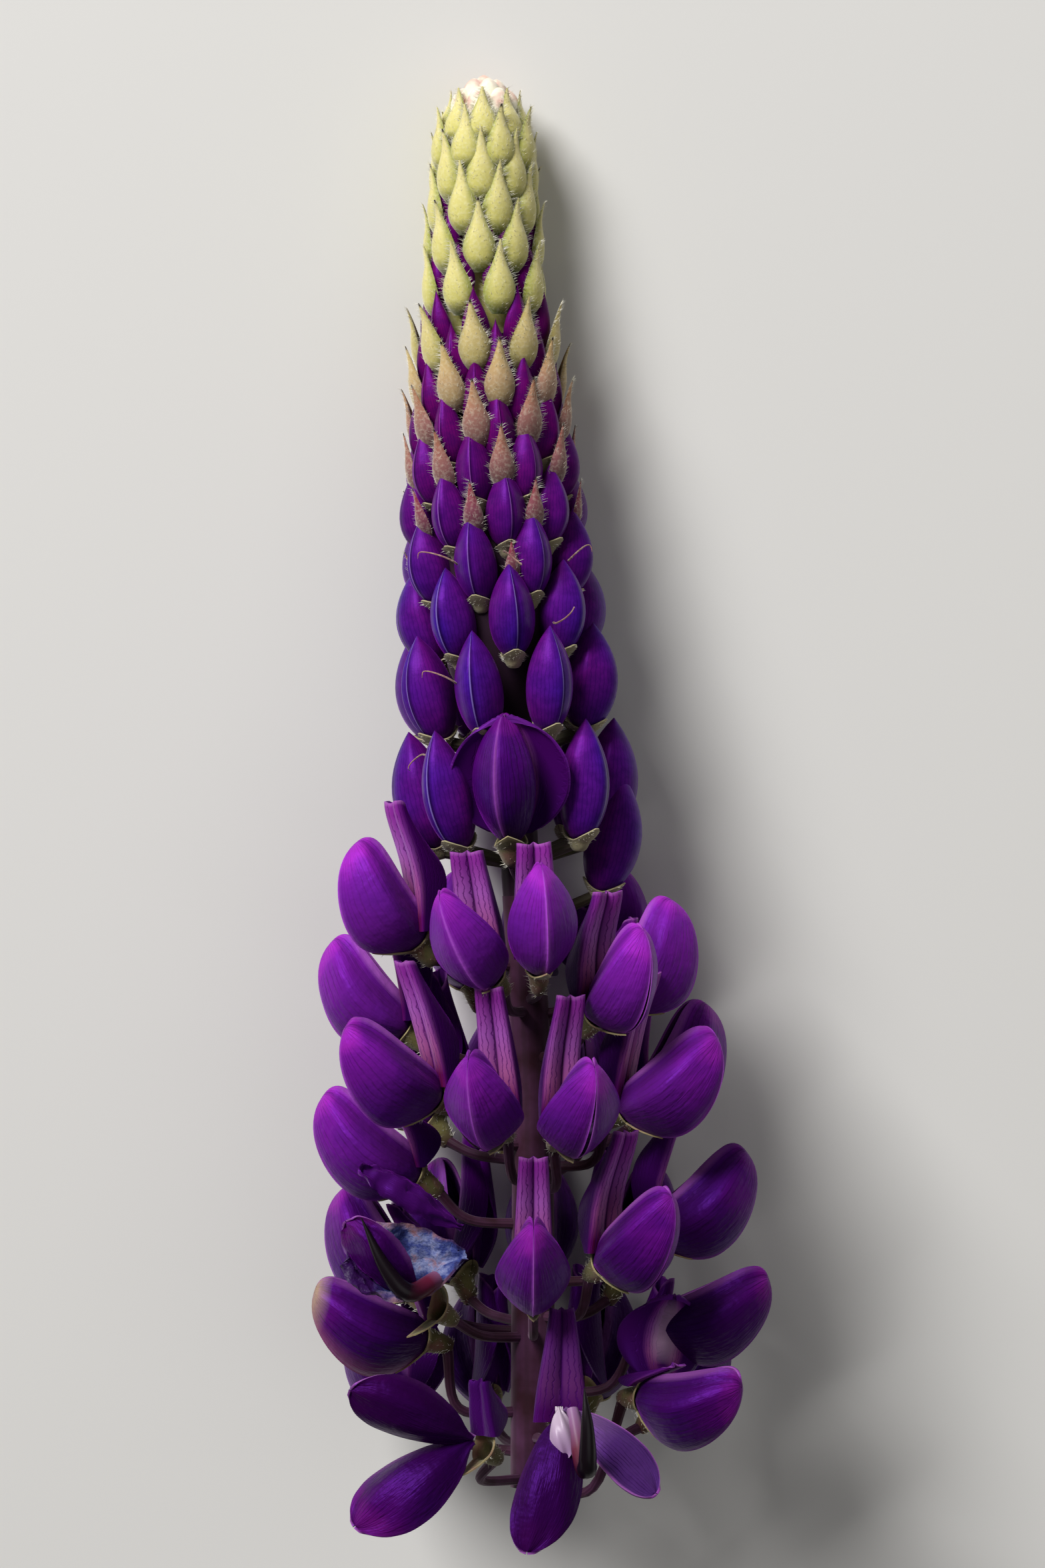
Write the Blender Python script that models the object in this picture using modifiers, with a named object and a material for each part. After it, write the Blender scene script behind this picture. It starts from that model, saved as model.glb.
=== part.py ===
"""Lupin flower spike, picked and laid on its back.

The spike is modelled upright, in millimetres: the stem runs up +Z, the side that shows when it
lies down faces -Y, and azimuth 0 is that side, growing towards +X.
A bud, bract or flower has a frame of its own: +X points away from the stem, +Y across, +Z up it.
One empty then lays the whole spike down on the surface, with its tip towards world +Y.
"""

import math
import random

import bmesh
import bpy
from mathutils import Matrix, Vector

MM = 0.001
GAP = 0.35                      # between two nodes that meet on the plant

# ---- the stem ---------------------------------------------------------------------------------
STEM_TOP = 71.0                 # where the head of buds takes over
STEM_RADII = (2.7, 2.35)        # at the cut end and at the head
LEAN = -5.9                     # the tip's shift to one side
LEAN_FROM, LEAN_TO = 36.0, 150.0
STALK_RADIUS = 0.6
STALK_DROP = 4.0                # a stalk leaves the stem this far below its flower
CALYX_LENGTH = 3.0
CALYX_RADIUS = 1.8

# ---- open flowers: whorls from the cut end up ---------------------------------------------------
# calyx height and radius; how hard the flowers underneath are pressed to the stem; wing length,
# depth and width; banner height; then for each flower its azimuth and its height over the whorl
OPEN_WHORLS = (
    (8.0, 16.5, 0.7, (16.2, 9.4, 9.0), 16.0,
     ((11.0, 2.0), (52.0, -4.0), (80.0, 7.5), (116.0, 0.0), (153.0, 1.0), (201.0, 0.0), (240.0, 0.0),
      (281.0, 5.0), (317.0, -3.0))),
    (23.5, 14.8, 1.05, (16.6, 9.6, 9.2), 18.0,
     ((0.0, -1.0), (41.0, 1.0), (88.0, 5.0), (132.0, 0.0), (176.0, 0.0), (219.0, 0.0), (256.0, -1.0),
      (311.0, -1.5))),
    (41.0, 14.2, 1.25, (16.6, 9.6, 9.4), 18.5,
     ((-18.0, 0.0), (20.0, -1.0), (64.0, 1.5), (108.0, 3.0), (153.0, 0.0), (197.0, 0.0), (240.0, 2.0),
      (274.0, -5.5), (302.0, 4.0))),
    (59.5, 12.4, 1.6, (15.6, 9.2, 8.6), 16.5,
     ((-20.0, 1.5), (9.0, 3.0), (39.0, -4.0), (84.0, 1.0), (130.0, 0.0), (174.0, 0.0), (218.0, 0.0),
      (264.0, -5.0), (292.0, 7.0))),
)
WING_TILT = 46.0                # of the wings' length away from the stem's direction
PRESSED_TILT = -24.0            # at full strength, straight under the spike
PRESSED_IN = 0.14
PETAL_THICKNESS = 0.6
SPLIT_FLOWER = (1, 1)           # whorl and place of the flower whose wings have come apart
SPLAYED_FLOWER = (1, 9)
WITHERED_FLOWER = (2, 8)
SHORT_BANNERS = ((1, 3), (2, 5), (2, 7), (3, 5), (3, 6), (3, 8), (4, 5), (4, 6), (4, 7))
SHORT_BANNER = 0.6              # their height over that of the others

# ---- head of buds and bracts -------------------------------------------------------------------
# calyx height and radius; bud length, depth and width
BUD_WHORLS = (
    (77.0, 9.8, (13.6, 6.8, 5.8)),
    (90.0, 9.2, (12.0, 6.6, 5.5)),
    (99.2, 8.2, (10.6, 6.2, 5.3)),
    (106.0, 7.8, (9.8, 5.9, 5.1)),
    (112.2, 7.5, (9.0, 5.6, 4.9)),
    (117.6, 7.2, (8.6, 5.2, 4.7)),
    (122.2, 6.8, (8.4, 4.6, 4.4)),
    (126.6, 6.4, (7.8, 4.1, 4.1)),
    (131.0, 6.0, (7.4, 3.6, 3.8)),
    (135.6, 5.5, (7.0, 3.2, 3.4)),
)
BUD_TILT = 11.0
BUDS_PER_WHORL = 8
FIRST_BUD = 3.0                 # azimuth of the first bud in the lowest whorl
WHORL_DRIFT = 1.2               # and how far each whorl has turned on from it
FIRST_WITH_BRACTS = 7           # lower whorls have dropped theirs
STALKED_WHORLS = 2              # buds above them sit close on the stem
HALF_OPEN_BUD = (0, 0)
HALF_OPEN_SEAT = (77.0, -5.0, 9.8)
# bract base height, radius and tilt
TIP_WHORLS = (
    (140.2, 4.7, 4.0),
    (145.2, 4.7, 4.0),
    (149.7, 4.6, 3.0),
    (153.6, 4.5, 1.0),
    (157.4, 4.5, -3.0),
    (160.6, 4.1, -14.0),
)
BRACT_SIZE = (7.6, 1.9, 4.1)    # length, thickness, width
HEAD_CORE = ((82.0, 2.6), (91.0, 3.8), (100.0, 7.3), (114.0, 7.6), (124.0, 6.7), (132.0, 5.7))
TIP_FROM = 138.4
TIP_CORE = ((138.4, 4.6), (150.0, 4.6), (160.0, 4.8), (164.6, 4.4), (167.2, 3.0), (168.8, 1.0))

# ---- how it lies -------------------------------------------------------------------------------
LIE_PITCH = 7.09
LIE_ROLL = 1.79
LIE_AT = (-0.13, -82.48, 25.62)

PURPLE = (0.075, 0.010, 0.200)
STEM_BROWN = (0.110, 0.045, 0.050)
BUD_PURPLE = (0.090, 0.018, 0.230)
BRACT_GREEN = (0.560, 0.570, 0.170)


def clear_scene():
    for thing in list(bpy.data.objects):
        bpy.data.objects.remove(thing, do_unlink=True)


def material(name, colour, roughness):
    made = bpy.data.materials.new(name)
    made.use_nodes = True
    shader = made.node_tree.nodes["Principled BSDF"]
    shader.inputs["Base Color"].default_value = (*colour, 1.0)
    shader.inputs["Roughness"].default_value = roughness
    shader.inputs["Metallic"].default_value = 0.0
    return made


def mesh_from(body, name):
    """The finished mesh of a bmesh that is in millimetres."""
    bmesh.ops.scale(body, vec=(MM, MM, MM), verts=body.verts)
    bmesh.ops.recalc_face_normals(body, faces=body.faces)
    mesh = bpy.data.meshes.new(name)
    body.to_mesh(mesh)
    body.free()
    mesh.shade_smooth()
    return mesh


def in_metres(matrix):
    placed = matrix.copy()
    placed.translation = matrix.translation * MM
    return placed


def add_object(name, mesh, collection, matrix=None):
    made = bpy.data.objects.new(name, mesh)
    collection.objects.link(made)
    if matrix is not None:
        made.matrix_local = in_metres(matrix)
    return made


def evaluated_mesh(thing):
    """The object's mesh with its modifiers applied; the object goes."""
    graph = bpy.context.evaluated_depsgraph_get()
    graph.update()
    mesh = bpy.data.meshes.new_from_object(thing.evaluated_get(graph))
    bpy.data.objects.remove(thing, do_unlink=True)
    return mesh


# ---- where things stand on the spike -----------------------------------------------------------


def stem_point(height):
    """The stem's centre, which leans to one side along a smooth curve."""
    part = min(1.0, max(0.0, (height - LEAN_FROM) / (LEAN_TO - LEAN_FROM)))
    return Vector((LEAN * part * part * (3.0 - 2.0 * part), 0.0, height))


def stem_frame(height):
    ahead = stem_point(height + 0.5) - stem_point(height - 0.5)
    lean = math.atan2(ahead.x, ahead.z)
    return Matrix.Translation(stem_point(height)) @ Matrix.Rotation(lean, 4, "Y")


def tilted(degrees):
    return Matrix.Rotation(math.radians(degrees), 4, "Y")


def seat(height, azimuth, radius, tilt=0.0):
    """Frame of something that sits on the spike, its +Z tilted away from the stem."""
    turn = Matrix.Rotation(math.radians(azimuth - 90.0), 4, "Z")
    return stem_frame(height) @ turn @ Matrix.Translation((radius, 0.0, 0.0)) @ tilted(tilt)


def flower_seat(height, azimuth, radius, strength):
    """An open flower's frame: those under the lying spike are pushed up against its stem."""
    pressed = strength * max(0.0, -math.cos(math.radians(azimuth))) ** 1.5
    return seat(height, azimuth, radius * (1.0 - PRESSED_IN * pressed), PRESSED_TILT * pressed)


def aimed(direction, roll=0.0):
    """Turns +Z to a direction, with +X kept away from the stem, then rolls about it."""
    up = Vector(direction).normalized()
    across = up.cross(Vector((1.0, 0.0, 0.0))).normalized()
    out = across.cross(up)
    turn = Matrix((out, across, up)).transposed().to_4x4()
    return turn @ Matrix.Rotation(math.radians(roll), 4, "Z")


# ---- shapes ------------------------------------------------------------------------------------


def pod(segments, rings, size, egg=0.2, belly=0.0, keel=0.25, point=0.0, curl=0.0):
    """A closed pod drawn from a ball: it starts at the origin and runs up +Z.

    size is its length, depth and width; egg moves its fullest part up, belly bows it to +X, keel
    draws its front and back to an edge, point narrows its tip and curl bends the tip to +X.
    """
    length, depth, width = size
    body = bmesh.new()
    bmesh.ops.create_uvsphere(body, u_segments=segments, v_segments=rings, radius=1.0)
    for vert in body.verts:
        x, y, z = vert.co
        around = math.hypot(x, y)
        up = (1.0 + z) / 2.0
        full = (1.0 + egg * (2.0 * up - 1.0)) * (1.0 - point * up**3)
        edge = 1.0 - keel * abs(x) / around if around > 1e-4 else 1.0
        shift = belly * math.sin(math.pi * up) + curl * up**4
        vert.co = (depth / 2.0 * x * full + shift, width / 2.0 * y * full * edge, length * up)
    return mesh_from(body, "pod")


def sheet(rows, columns, place):
    """A petal: a grid of rows and columns put in place by a function, then given its thickness."""
    body = bmesh.new()
    grid = [
        [body.verts.new(place(row / rows, 2.0 * column / columns - 1.0)) for column in range(columns + 1)]
        for row in range(rows + 1)
    ]
    for low, high in zip(grid, grid[1:]):
        for side in range(columns):
            body.faces.new((low[side], low[side + 1], high[side + 1], high[side]))
    petal = add_object("petal", mesh_from(body, "petal"), bpy.context.scene.collection)
    solid = petal.modifiers.new("thickness", "SOLIDIFY")
    solid.thickness = PETAL_THICKNESS * MM
    solid.offset = 0.0
    return evaluated_mesh(petal)


def folded_banner(height, lean=3.4, half_width=1.9, fold=4.2):
    """The banner: an upright narrow face with a shallow notch, and both halves folded back."""

    def place(up, across):
        face = half_width * (1.3 - 0.4 * up)
        x = lean * up * up
        z = 1.4 + (height - 1.4) * up
        if abs(across) > 0.75:
            back = fold * math.sin(math.pi * (0.05 + 0.7 * up))
            return (x - back, math.copysign(face * 0.8, across), z - 0.05 * height * up)
        if abs(across) > 0.25:
            return (x, math.copysign(face, across), z)
        return (x + 0.3, 0.0, z - 0.035 * height * up**3)

    return sheet(2, 4, place)


def wide_banner(height, half_width, wrap):
    """A banner that has only begun to open: a cupped sheet round the wings."""

    def place(up, across):
        wide = half_width * math.sin(math.pi * (0.16 + 0.66 * up)) ** 0.8
        return (
            -0.6 + wrap * abs(across) ** 1.6 - 1.6 * math.sin(math.pi * up),
            wide * across,
            0.9 + (height - 0.9) * (up - 0.16 * up * abs(across)),
        )

    return sheet(3, 4, place)


def blade(length, width, cup=1.0, twist=0.0):
    """One wing petal by itself: a cupped oval blade that runs up +Z from a narrow foot."""

    def place(up, across):
        wide = width / 2.0 * math.sin(math.pi * (0.08 + 0.84 * up**0.8)) ** 0.8
        turn = math.radians(twist) * up
        y = wide * across
        x = cup * (1.0 - across * across) * math.sin(math.pi * up)
        return (x * math.cos(turn) - y * math.sin(turn), x * math.sin(turn) + y * math.cos(turn), length * up)

    return sheet(3, 2, place)


def tube(points, radii, resolution):
    """A closed tube along points, with 4 sides and 2 more for each step of resolution."""
    data = bpy.data.curves.new("tube", "CURVE")
    data.dimensions = "3D"
    data.bevel_depth = MM
    data.bevel_resolution = resolution
    data.use_fill_caps = True
    spline = data.splines.new("POLY")
    spline.points.add(len(points) - 1)
    for knot, point, radius in zip(spline.points, points, radii):
        knot.co = (*(Vector(point) * MM), 1.0)
        knot.radius = radius
    curve = bpy.data.objects.new("tube", data)
    bpy.context.scene.collection.objects.link(curve)
    mesh = evaluated_mesh(curve)
    body = bmesh.new()
    body.from_mesh(mesh)
    bmesh.ops.remove_doubles(body, verts=body.verts, dist=1e-6)
    bmesh.ops.recalc_face_normals(body, faces=body.faces)
    body.to_mesh(mesh)
    body.free()
    return mesh


def funnel(length, narrow, wide):
    """A five-sided calyx cup whose mouth is at the origin."""
    body = bmesh.new()
    bmesh.ops.create_cone(body, cap_ends=True, segments=5, radius1=narrow, radius2=wide, depth=length)
    bmesh.ops.translate(body, vec=(0.0, 0.0, -length / 2.0), verts=body.verts)
    return mesh_from(body, "calyx")


def keep_main_body(mesh):
    """Drops the loose scraps of a union, and fills the small hollows that it sealed."""
    body = bmesh.new()
    body.from_mesh(mesh)
    unseen = set(body.verts)
    islands = []
    while unseen:
        island = {unseen.pop()}
        edge = list(island)
        while edge:
            near = {other.other_vert(vert) for vert in edge for other in vert.link_edges} & unseen
            unseen -= near
            island |= near
            edge = list(near)
        islands.append(island)
    main_body = max(islands, key=len)
    bmesh.ops.delete(body, geom=[vert for vert in body.verts if vert not in main_body], context="VERTS")
    body.to_mesh(mesh)
    body.free()


def fuse(name, pieces):
    """One closed mesh from overlapping closed pieces, each given as (mesh, matrix)."""
    (first_mesh, first_place), *rest = pieces
    base = add_object(name, first_mesh.copy(), bpy.context.scene.collection)
    base.data.transform(in_metres(first_place))
    others = bpy.data.collections.new(name + " pieces")
    bpy.context.scene.collection.children.link(others)
    for mesh, place in rest:
        add_object("piece", mesh, others, place)
    union = base.modifiers.new("union", "BOOLEAN")
    union.operation = "UNION"
    union.operand_type = "COLLECTION"
    union.collection = others
    union.solver = "MANIFOLD"
    bpy.context.view_layer.update()
    joined = evaluated_mesh(base)
    for piece in list(others.objects):
        bpy.data.objects.remove(piece, do_unlink=True)
    bpy.data.collections.remove(others)
    keep_main_body(joined)
    return joined


# ---- the plant's pieces --------------------------------------------------------------------------


# The petals start a little outside the calyx, whose mouth is tilted as the wings are.
CLEAR_OF_CALYX = Matrix.Translation(tilted(WING_TILT) @ Vector((0.0, 0.0, GAP)))


def stalk(height, azimuth, radius, end):
    """The thin stalk of one flower, from inside the stem to a point in the spike's frame."""
    root = seat(height - STALK_DROP, azimuth, 1.2).translation
    middle = seat(height - STALK_DROP + 0.6, azimuth, radius * 0.55).translation
    return tube([root, middle, end], [STALK_RADIUS * 1.15, STALK_RADIUS, STALK_RADIUS], 0)


def stem_mesh():
    """The stem with the stalk and calyx of every open flower."""
    heights = [STEM_TOP * step / 10.0 for step in range(11)]
    radii = [STEM_RADII[0] + (STEM_RADII[1] - STEM_RADII[0]) * step / 10.0 for step in range(11)]
    pieces = [(tube([stem_point(height) for height in heights], radii, 3), Matrix.Identity(4))]
    calyx = funnel(CALYX_LENGTH, 0.5, CALYX_RADIUS)
    for base, radius, strength, _, _, members in OPEN_WHORLS:
        for azimuth, rise in members:
            place = flower_seat(base + rise, azimuth, radius, strength) @ tilted(WING_TILT)
            end = place @ Vector((0.0, 0.0, 0.7 - CALYX_LENGTH))
            pieces.append((calyx, place))
            pieces.append((stalk(base + rise, azimuth, radius, end), Matrix.Identity(4)))
    return fuse("stem", pieces)


def open_flower(wing, banner_height):
    """Two wings closed into a pouch over the keel, with the folded banner behind them."""
    pouch = pod(8, 5, wing, egg=0.15, belly=0.8, keel=0.3, point=0.1)
    return fuse("open flower", [
        (pouch, CLEAR_OF_CALYX @ tilted(WING_TILT)),
        (folded_banner(banner_height), CLEAR_OF_CALYX),
    ])


FRONT_OF_THROAT = CLEAR_OF_CALYX @ Matrix.Translation((1.8, 0.0, 1.0))


def split_flower():
    """The lowest flower in front: its wings hang apart and show the dark, pointed keel."""
    return fuse("split flower", [
        (pod(6, 4, (4.5, 4.0, 4.4)), CLEAR_OF_CALYX @ tilted(60.0)),
        (folded_banner(11.0, lean=1.5), CLEAR_OF_CALYX),
        (pod(4, 5, (9.5, 2.6, 2.0), 0.0, 0.8, 0.0, 0.6, 1.2), FRONT_OF_THROAT @ aimed((0.55, 0.06, -0.75))),
        (blade(17.0, 7.8, 1.6), FRONT_OF_THROAT @ aimed((0.30, -0.20, -0.93), 12.0)),
        (blade(14.5, 7.0, 1.2), FRONT_OF_THROAT @ aimed((0.36, 0.74, -0.62), -20.0)),
    ])


def splayed_flower():
    """Two wings that have parted wide and hang to one side, with a short banner."""
    return fuse("splayed flower", [
        (pod(6, 4, (4.5, 4.0, 4.0)), CLEAR_OF_CALYX @ tilted(60.0)),
        (folded_banner(9.0, lean=1.0, half_width=1.6), CLEAR_OF_CALYX),
        (blade(15.5, 7.0, 1.6), FRONT_OF_THROAT @ aimed((0.62, -0.40, 0.36), 10.0)),
        (blade(16.5, 8.2, 1.8), FRONT_OF_THROAT @ aimed((0.55, -0.40, -0.52), -10.0)),
    ])


def withered_flower():
    """A flower past its time: a limp banner, crumpled wings and a bare pointed keel."""
    return fuse("withered flower", [
        (pod(6, 5, (9.0, 7.2, 8.0), 0.1, 0.5, 0.1, 0.2), CLEAR_OF_CALYX @ tilted(62.0)),
        (folded_banner(12.5, lean=2.6, half_width=1.5, fold=3.0), CLEAR_OF_CALYX @ tilted(-6.0)),
        (blade(12.5, 6.0, 1.2, 40.0), FRONT_OF_THROAT @ aimed((0.75, -0.45, 0.25), 25.0)),
        (pod(4, 5, (12.0, 2.4, 2.2), 0.0, 1.0, 0.0, 0.7, 1.0), FRONT_OF_THROAT @ aimed((0.72, -0.60, 0.30))),
    ])


def half_open_flower():
    """The highest flower that opens: a tall pouch in a banner that only starts to spread."""
    raised = Matrix.Translation((0.0, 0.0, GAP))
    return fuse("half-open flower", [
        (pod(8, 5, (15.4, 7.4, 7.0), egg=0.1, belly=0.9, keel=0.35, point=0.3), raised),
        (wide_banner(14.6, 6.5, 3.4), raised),
    ])


def bract():
    """A pointed bract with a thin tail that turns outwards."""
    return pod(4, 4, BRACT_SIZE, egg=-0.12, belly=0.2, keel=0.0, point=0.75, curl=0.9)


def whorl_azimuth(whorl, member):
    """Each whorl stands in the gaps of the one below."""
    return FIRST_BUD + WHORL_DRIFT * whorl + 360.0 / BUDS_PER_WHORL * (member + 0.5 * (whorl % 2))


def bud_head_mesh(draw):
    """The upper stem with its closed buds; the higher ones still have their bracts."""
    core = ((STEM_TOP + GAP, STEM_RADII[1]), *HEAD_CORE, (TIP_FROM - GAP, 4.6))
    centres = [stem_point(height) for height, _ in core]
    pieces = [(tube(centres, [radius for _, radius in core], 2), Matrix.Identity(4))]
    cover = bract()
    for whorl, (height, radius, size) in enumerate(BUD_WHORLS):
        sides = 5 if whorl >= FIRST_WITH_BRACTS else 6
        rings = 5 if whorl < STALKED_WHORLS else 4
        bud = pod(sides, rings, size, egg=0.0, belly=0.3, keel=0.2, point=0.35)
        for member in range(BUDS_PER_WHORL):
            azimuth = whorl_azimuth(whorl, member) + draw.uniform(-2.5, 2.5)
            place = seat(height, azimuth, radius, BUD_TILT + draw.uniform(-2.0, 2.0))
            if (whorl, member) == HALF_OPEN_BUD:
                place = seat(*HALF_OPEN_SEAT, BUD_TILT)
                azimuth = HALF_OPEN_SEAT[1]
                pieces.append((funnel(CALYX_LENGTH, 0.5, CALYX_RADIUS), place))
                end = place @ Vector((0.0, 0.0, 0.7 - CALYX_LENGTH))
                pieces.append((stalk(height, azimuth, radius, end), Matrix.Identity(4)))
                continue
            pieces.append((bud, place))
            if whorl >= FIRST_WITH_BRACTS:
                pieces.append((cover, place @ Matrix.Translation((0.5 * size[1] - 0.7, 0.0, -2.0))))
            if whorl < STALKED_WHORLS:
                root = seat(height - 2.0, azimuth, 1.4).translation
                pieces.append((tube([root, place @ Vector((0.0, 0.0, 0.7))], [0.8, 0.8], 0), Matrix.Identity(4)))
    return fuse("bud_head", pieces)


def bract_tip_mesh(draw):
    """The youngest end of the spike, covered in pale bracts."""
    centres = [stem_point(height) for height, _ in TIP_CORE]
    pieces = [(tube(centres, [radius for _, radius in TIP_CORE], 2), Matrix.Identity(4))]
    cover = bract()
    for whorl, (height, radius, tilt) in enumerate(TIP_WHORLS, len(BUD_WHORLS)):
        for member in range(BUDS_PER_WHORL):
            azimuth = whorl_azimuth(whorl, member) + draw.uniform(-2.0, 2.0)
            place = seat(height, azimuth, radius, tilt + draw.uniform(-1.5, 1.5))
            pieces.append((cover, place))
    return fuse("bract_tip", pieces)


def main():
    clear_scene()
    draw = random.Random(4)
    spike = bpy.data.collections.new("lupin flower spike")
    bpy.context.scene.collection.children.link(spike)
    lie = bpy.data.objects.new("lie", None)
    lie.location = Vector(LIE_AT) * MM
    lie.rotation_euler = (math.radians(-90.0 - LIE_PITCH), math.radians(LIE_ROLL), 0.0)
    spike.objects.link(lie)

    made = []
    for name, mesh, surface in (
        ("stem", stem_mesh(), material("lupin stem", STEM_BROWN, 0.6)),
        ("bud_head", bud_head_mesh(draw), material("lupin bud", BUD_PURPLE, 0.55)),
        ("bract_tip", bract_tip_mesh(draw), material("lupin bract", BRACT_GREEN, 0.7)),
    ):
        mesh.materials.append(surface)
        made.append(add_object(name, mesh, spike))

    petal = material("lupin petal", PURPLE, 0.55)
    own_shapes = {
        SPLIT_FLOWER: split_flower(),
        SPLAYED_FLOWER: splayed_flower(),
        WITHERED_FLOWER: withered_flower(),
    }
    for whorl, (base, radius, strength, wing, banner_height, members) in enumerate(OPEN_WHORLS, 1):
        full = open_flower(wing, banner_height)
        short = open_flower(wing, banner_height * SHORT_BANNER)
        for number, (azimuth, rise) in enumerate(members, 1):
            shared = short if (whorl, number) in SHORT_BANNERS else full
            mesh = own_shapes.get((whorl, number), shared)
            if not mesh.materials:
                mesh.materials.append(petal)
            name = "flower_%d_%d" % (whorl, number)
            place = flower_seat(base + rise, azimuth, radius, strength)
            made.append(add_object(name, mesh, spike, place))

    mesh = half_open_flower()
    mesh.materials.append(petal)
    made.append(add_object("flower_half_open", mesh, spike, seat(*HALF_OPEN_SEAT, BUD_TILT)))
    for thing in made:
        thing.parent = lie


main()
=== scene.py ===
import math
import random

import bpy
import numpy as np
from mathutils import Matrix


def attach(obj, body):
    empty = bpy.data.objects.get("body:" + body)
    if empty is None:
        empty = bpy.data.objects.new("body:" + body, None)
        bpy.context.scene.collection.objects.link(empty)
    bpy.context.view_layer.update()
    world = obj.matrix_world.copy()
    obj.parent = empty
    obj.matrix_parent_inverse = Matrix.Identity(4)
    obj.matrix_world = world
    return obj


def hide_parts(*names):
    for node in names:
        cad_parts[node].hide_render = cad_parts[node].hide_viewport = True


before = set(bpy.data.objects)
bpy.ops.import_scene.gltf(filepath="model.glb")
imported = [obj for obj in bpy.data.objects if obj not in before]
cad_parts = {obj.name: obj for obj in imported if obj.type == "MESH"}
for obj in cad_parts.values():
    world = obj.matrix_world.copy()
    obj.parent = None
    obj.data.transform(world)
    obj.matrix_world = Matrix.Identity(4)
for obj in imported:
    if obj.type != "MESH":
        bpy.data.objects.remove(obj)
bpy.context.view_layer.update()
mm = 0.001
print("frame loaded:", len(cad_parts), "solids")


def curveThrough(t, knots, values):
    # a smooth curve through the values: a cubic between each two knots, whose slope at a knot is
    # that of the chord between its neighbours
    t, knots, values = np.asarray(t, float), np.asarray(knots, float), np.asarray(values, float)
    slopes = np.gradient(values, knots)
    place = np.clip(np.searchsorted(knots, t, side="right") - 1, 0, len(knots) - 2)
    step = knots[place + 1] - knots[place]
    s = np.clip((t - knots[place]) / step, 0.0, 1.0)
    return ((2 * s**3 - 3 * s**2 + 1) * values[place] + (s**3 - 2 * s**2 + s) * step * slopes[place]
            + (3 * s**2 - 2 * s**3) * values[place + 1] + (s**3 - s**2) * step * slopes[place + 1])


def pathThrough(points, count):
    # a path: each coordinate is a smooth curve through the points, which stand at equal shares
    share, knots = np.linspace(0.0, 1.0, count), np.linspace(0.0, 1.0, len(points))
    return np.stack([curveThrough(share, knots, values) for values in np.transpose(points)], -1)


def smoothStep(x, low, high):
    # 0 below low, 1 above high; between them three squares of the share less two of its cubes
    s = np.clip((x - low) / (high - low), 0.0, 1.0)
    return s * s * (3.0 - 2.0 * s)


def hump(share):
    # from 0 up to 1 and back to 0: the sine of half a turn times the share
    return np.sin(np.pi * share)


def bell(x, at, width):
    # 1 at one place, and beside it e to the power of minus the square of the distance in widths
    return np.exp(-((x - at) / width) ** 2)


def together(*values):
    # arrays of one number for each point, spread over the grid, become its points or map points
    return np.stack(np.broadcast_arrays(*values), -1)


def unit(vectors):
    # each vector divided by its length
    return vectors / np.maximum(np.linalg.norm(vectors, axis=-1, keepdims=True), 1e-12)


def moved(x, y, z):
    # a place beside the origin with no turn
    made = np.eye(4)
    made[:3, 3] = (x, y, z)
    return made


def turned(axis, degrees):
    # a turn about one axis: the cosine and the sine of the angle mix the other two
    one, two = {"x": (1, 2), "y": (2, 0), "z": (0, 1)}[axis]
    c, s = math.cos(math.radians(degrees)), math.sin(math.radians(degrees))
    made = np.eye(4)
    made[one, one], made[one, two], made[two, one], made[two, two] = c, -s, s, c
    return made


def facing(at, along, outward=(1.0, 0.0, 0.0)):
    # a place whose +Z runs along one direction, and whose +X is the other less its share along +Z
    z = unit(np.array(along, float))
    x = unit(np.array(outward, float) - z * np.dot(outward, z))
    made = np.eye(4)
    made[:3, 0], made[:3, 1], made[:3, 2], made[:3, 3] = x, np.cross(z, x), z, at
    return made


def aimed(direction, roll):
    # at the origin, facing a direction, then rolled about it
    return facing((0.0, 0.0, 0.0), direction) @ turned("z", roll)


def gridNormals(points):
    # across a grid of points: its column direction times its row direction
    return unit(np.cross(np.gradient(points, axis=1), np.gradient(points, axis=0)))


def part(points, faces, uv, surface, **marks):
    # a bit of a piece: its points, its faces of three or four points, a map point for each corner,
    # its material, and marks that hold a number for each point
    marks = {key: np.broadcast_to(np.asarray(value, float), (len(points),)) for key, value in marks.items()}
    return {"points": points, "faces": faces, "uv": uv, "surface": surface, "marks": marks}


def shell(points, uv, thickness, surface, **marks):
    # a thin petal: the grid, a copy of it set back along its normals, and a rim that joins the two
    rows, cols = points.shape[:2]
    count = rows * cols
    back = points - gridNormals(points) * np.broadcast_to(thickness, (rows, cols))[..., None]
    index = np.arange(count).reshape(rows, cols)
    front = np.stack([index[:-1, :-1], index[:-1, 1:], index[1:, 1:], index[1:, :-1]], -1).reshape(-1, 4)
    edge = np.concatenate([index[0, :-1], index[:-1, -1], index[-1, :0:-1], index[:0:-1, 0]])
    after = np.roll(edge, -1)
    rim = np.stack([after, edge, edge + count, after + count], -1)
    faces = np.concatenate([front, front[:, ::-1] + count, rim])
    everyUv = np.concatenate([uv.reshape(-1, 2), uv.reshape(-1, 2)])
    spread = {key: np.tile(np.broadcast_to(value, (rows, cols)).reshape(-1), 2) for key, value in marks.items()}
    spread["inside"] = np.repeat([0.0, 1.0], count)
    both = np.concatenate([points.reshape(-1, 3), back.reshape(-1, 3)])
    return part(both, [faces], [everyUv[faces]], surface, **spread)


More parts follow.
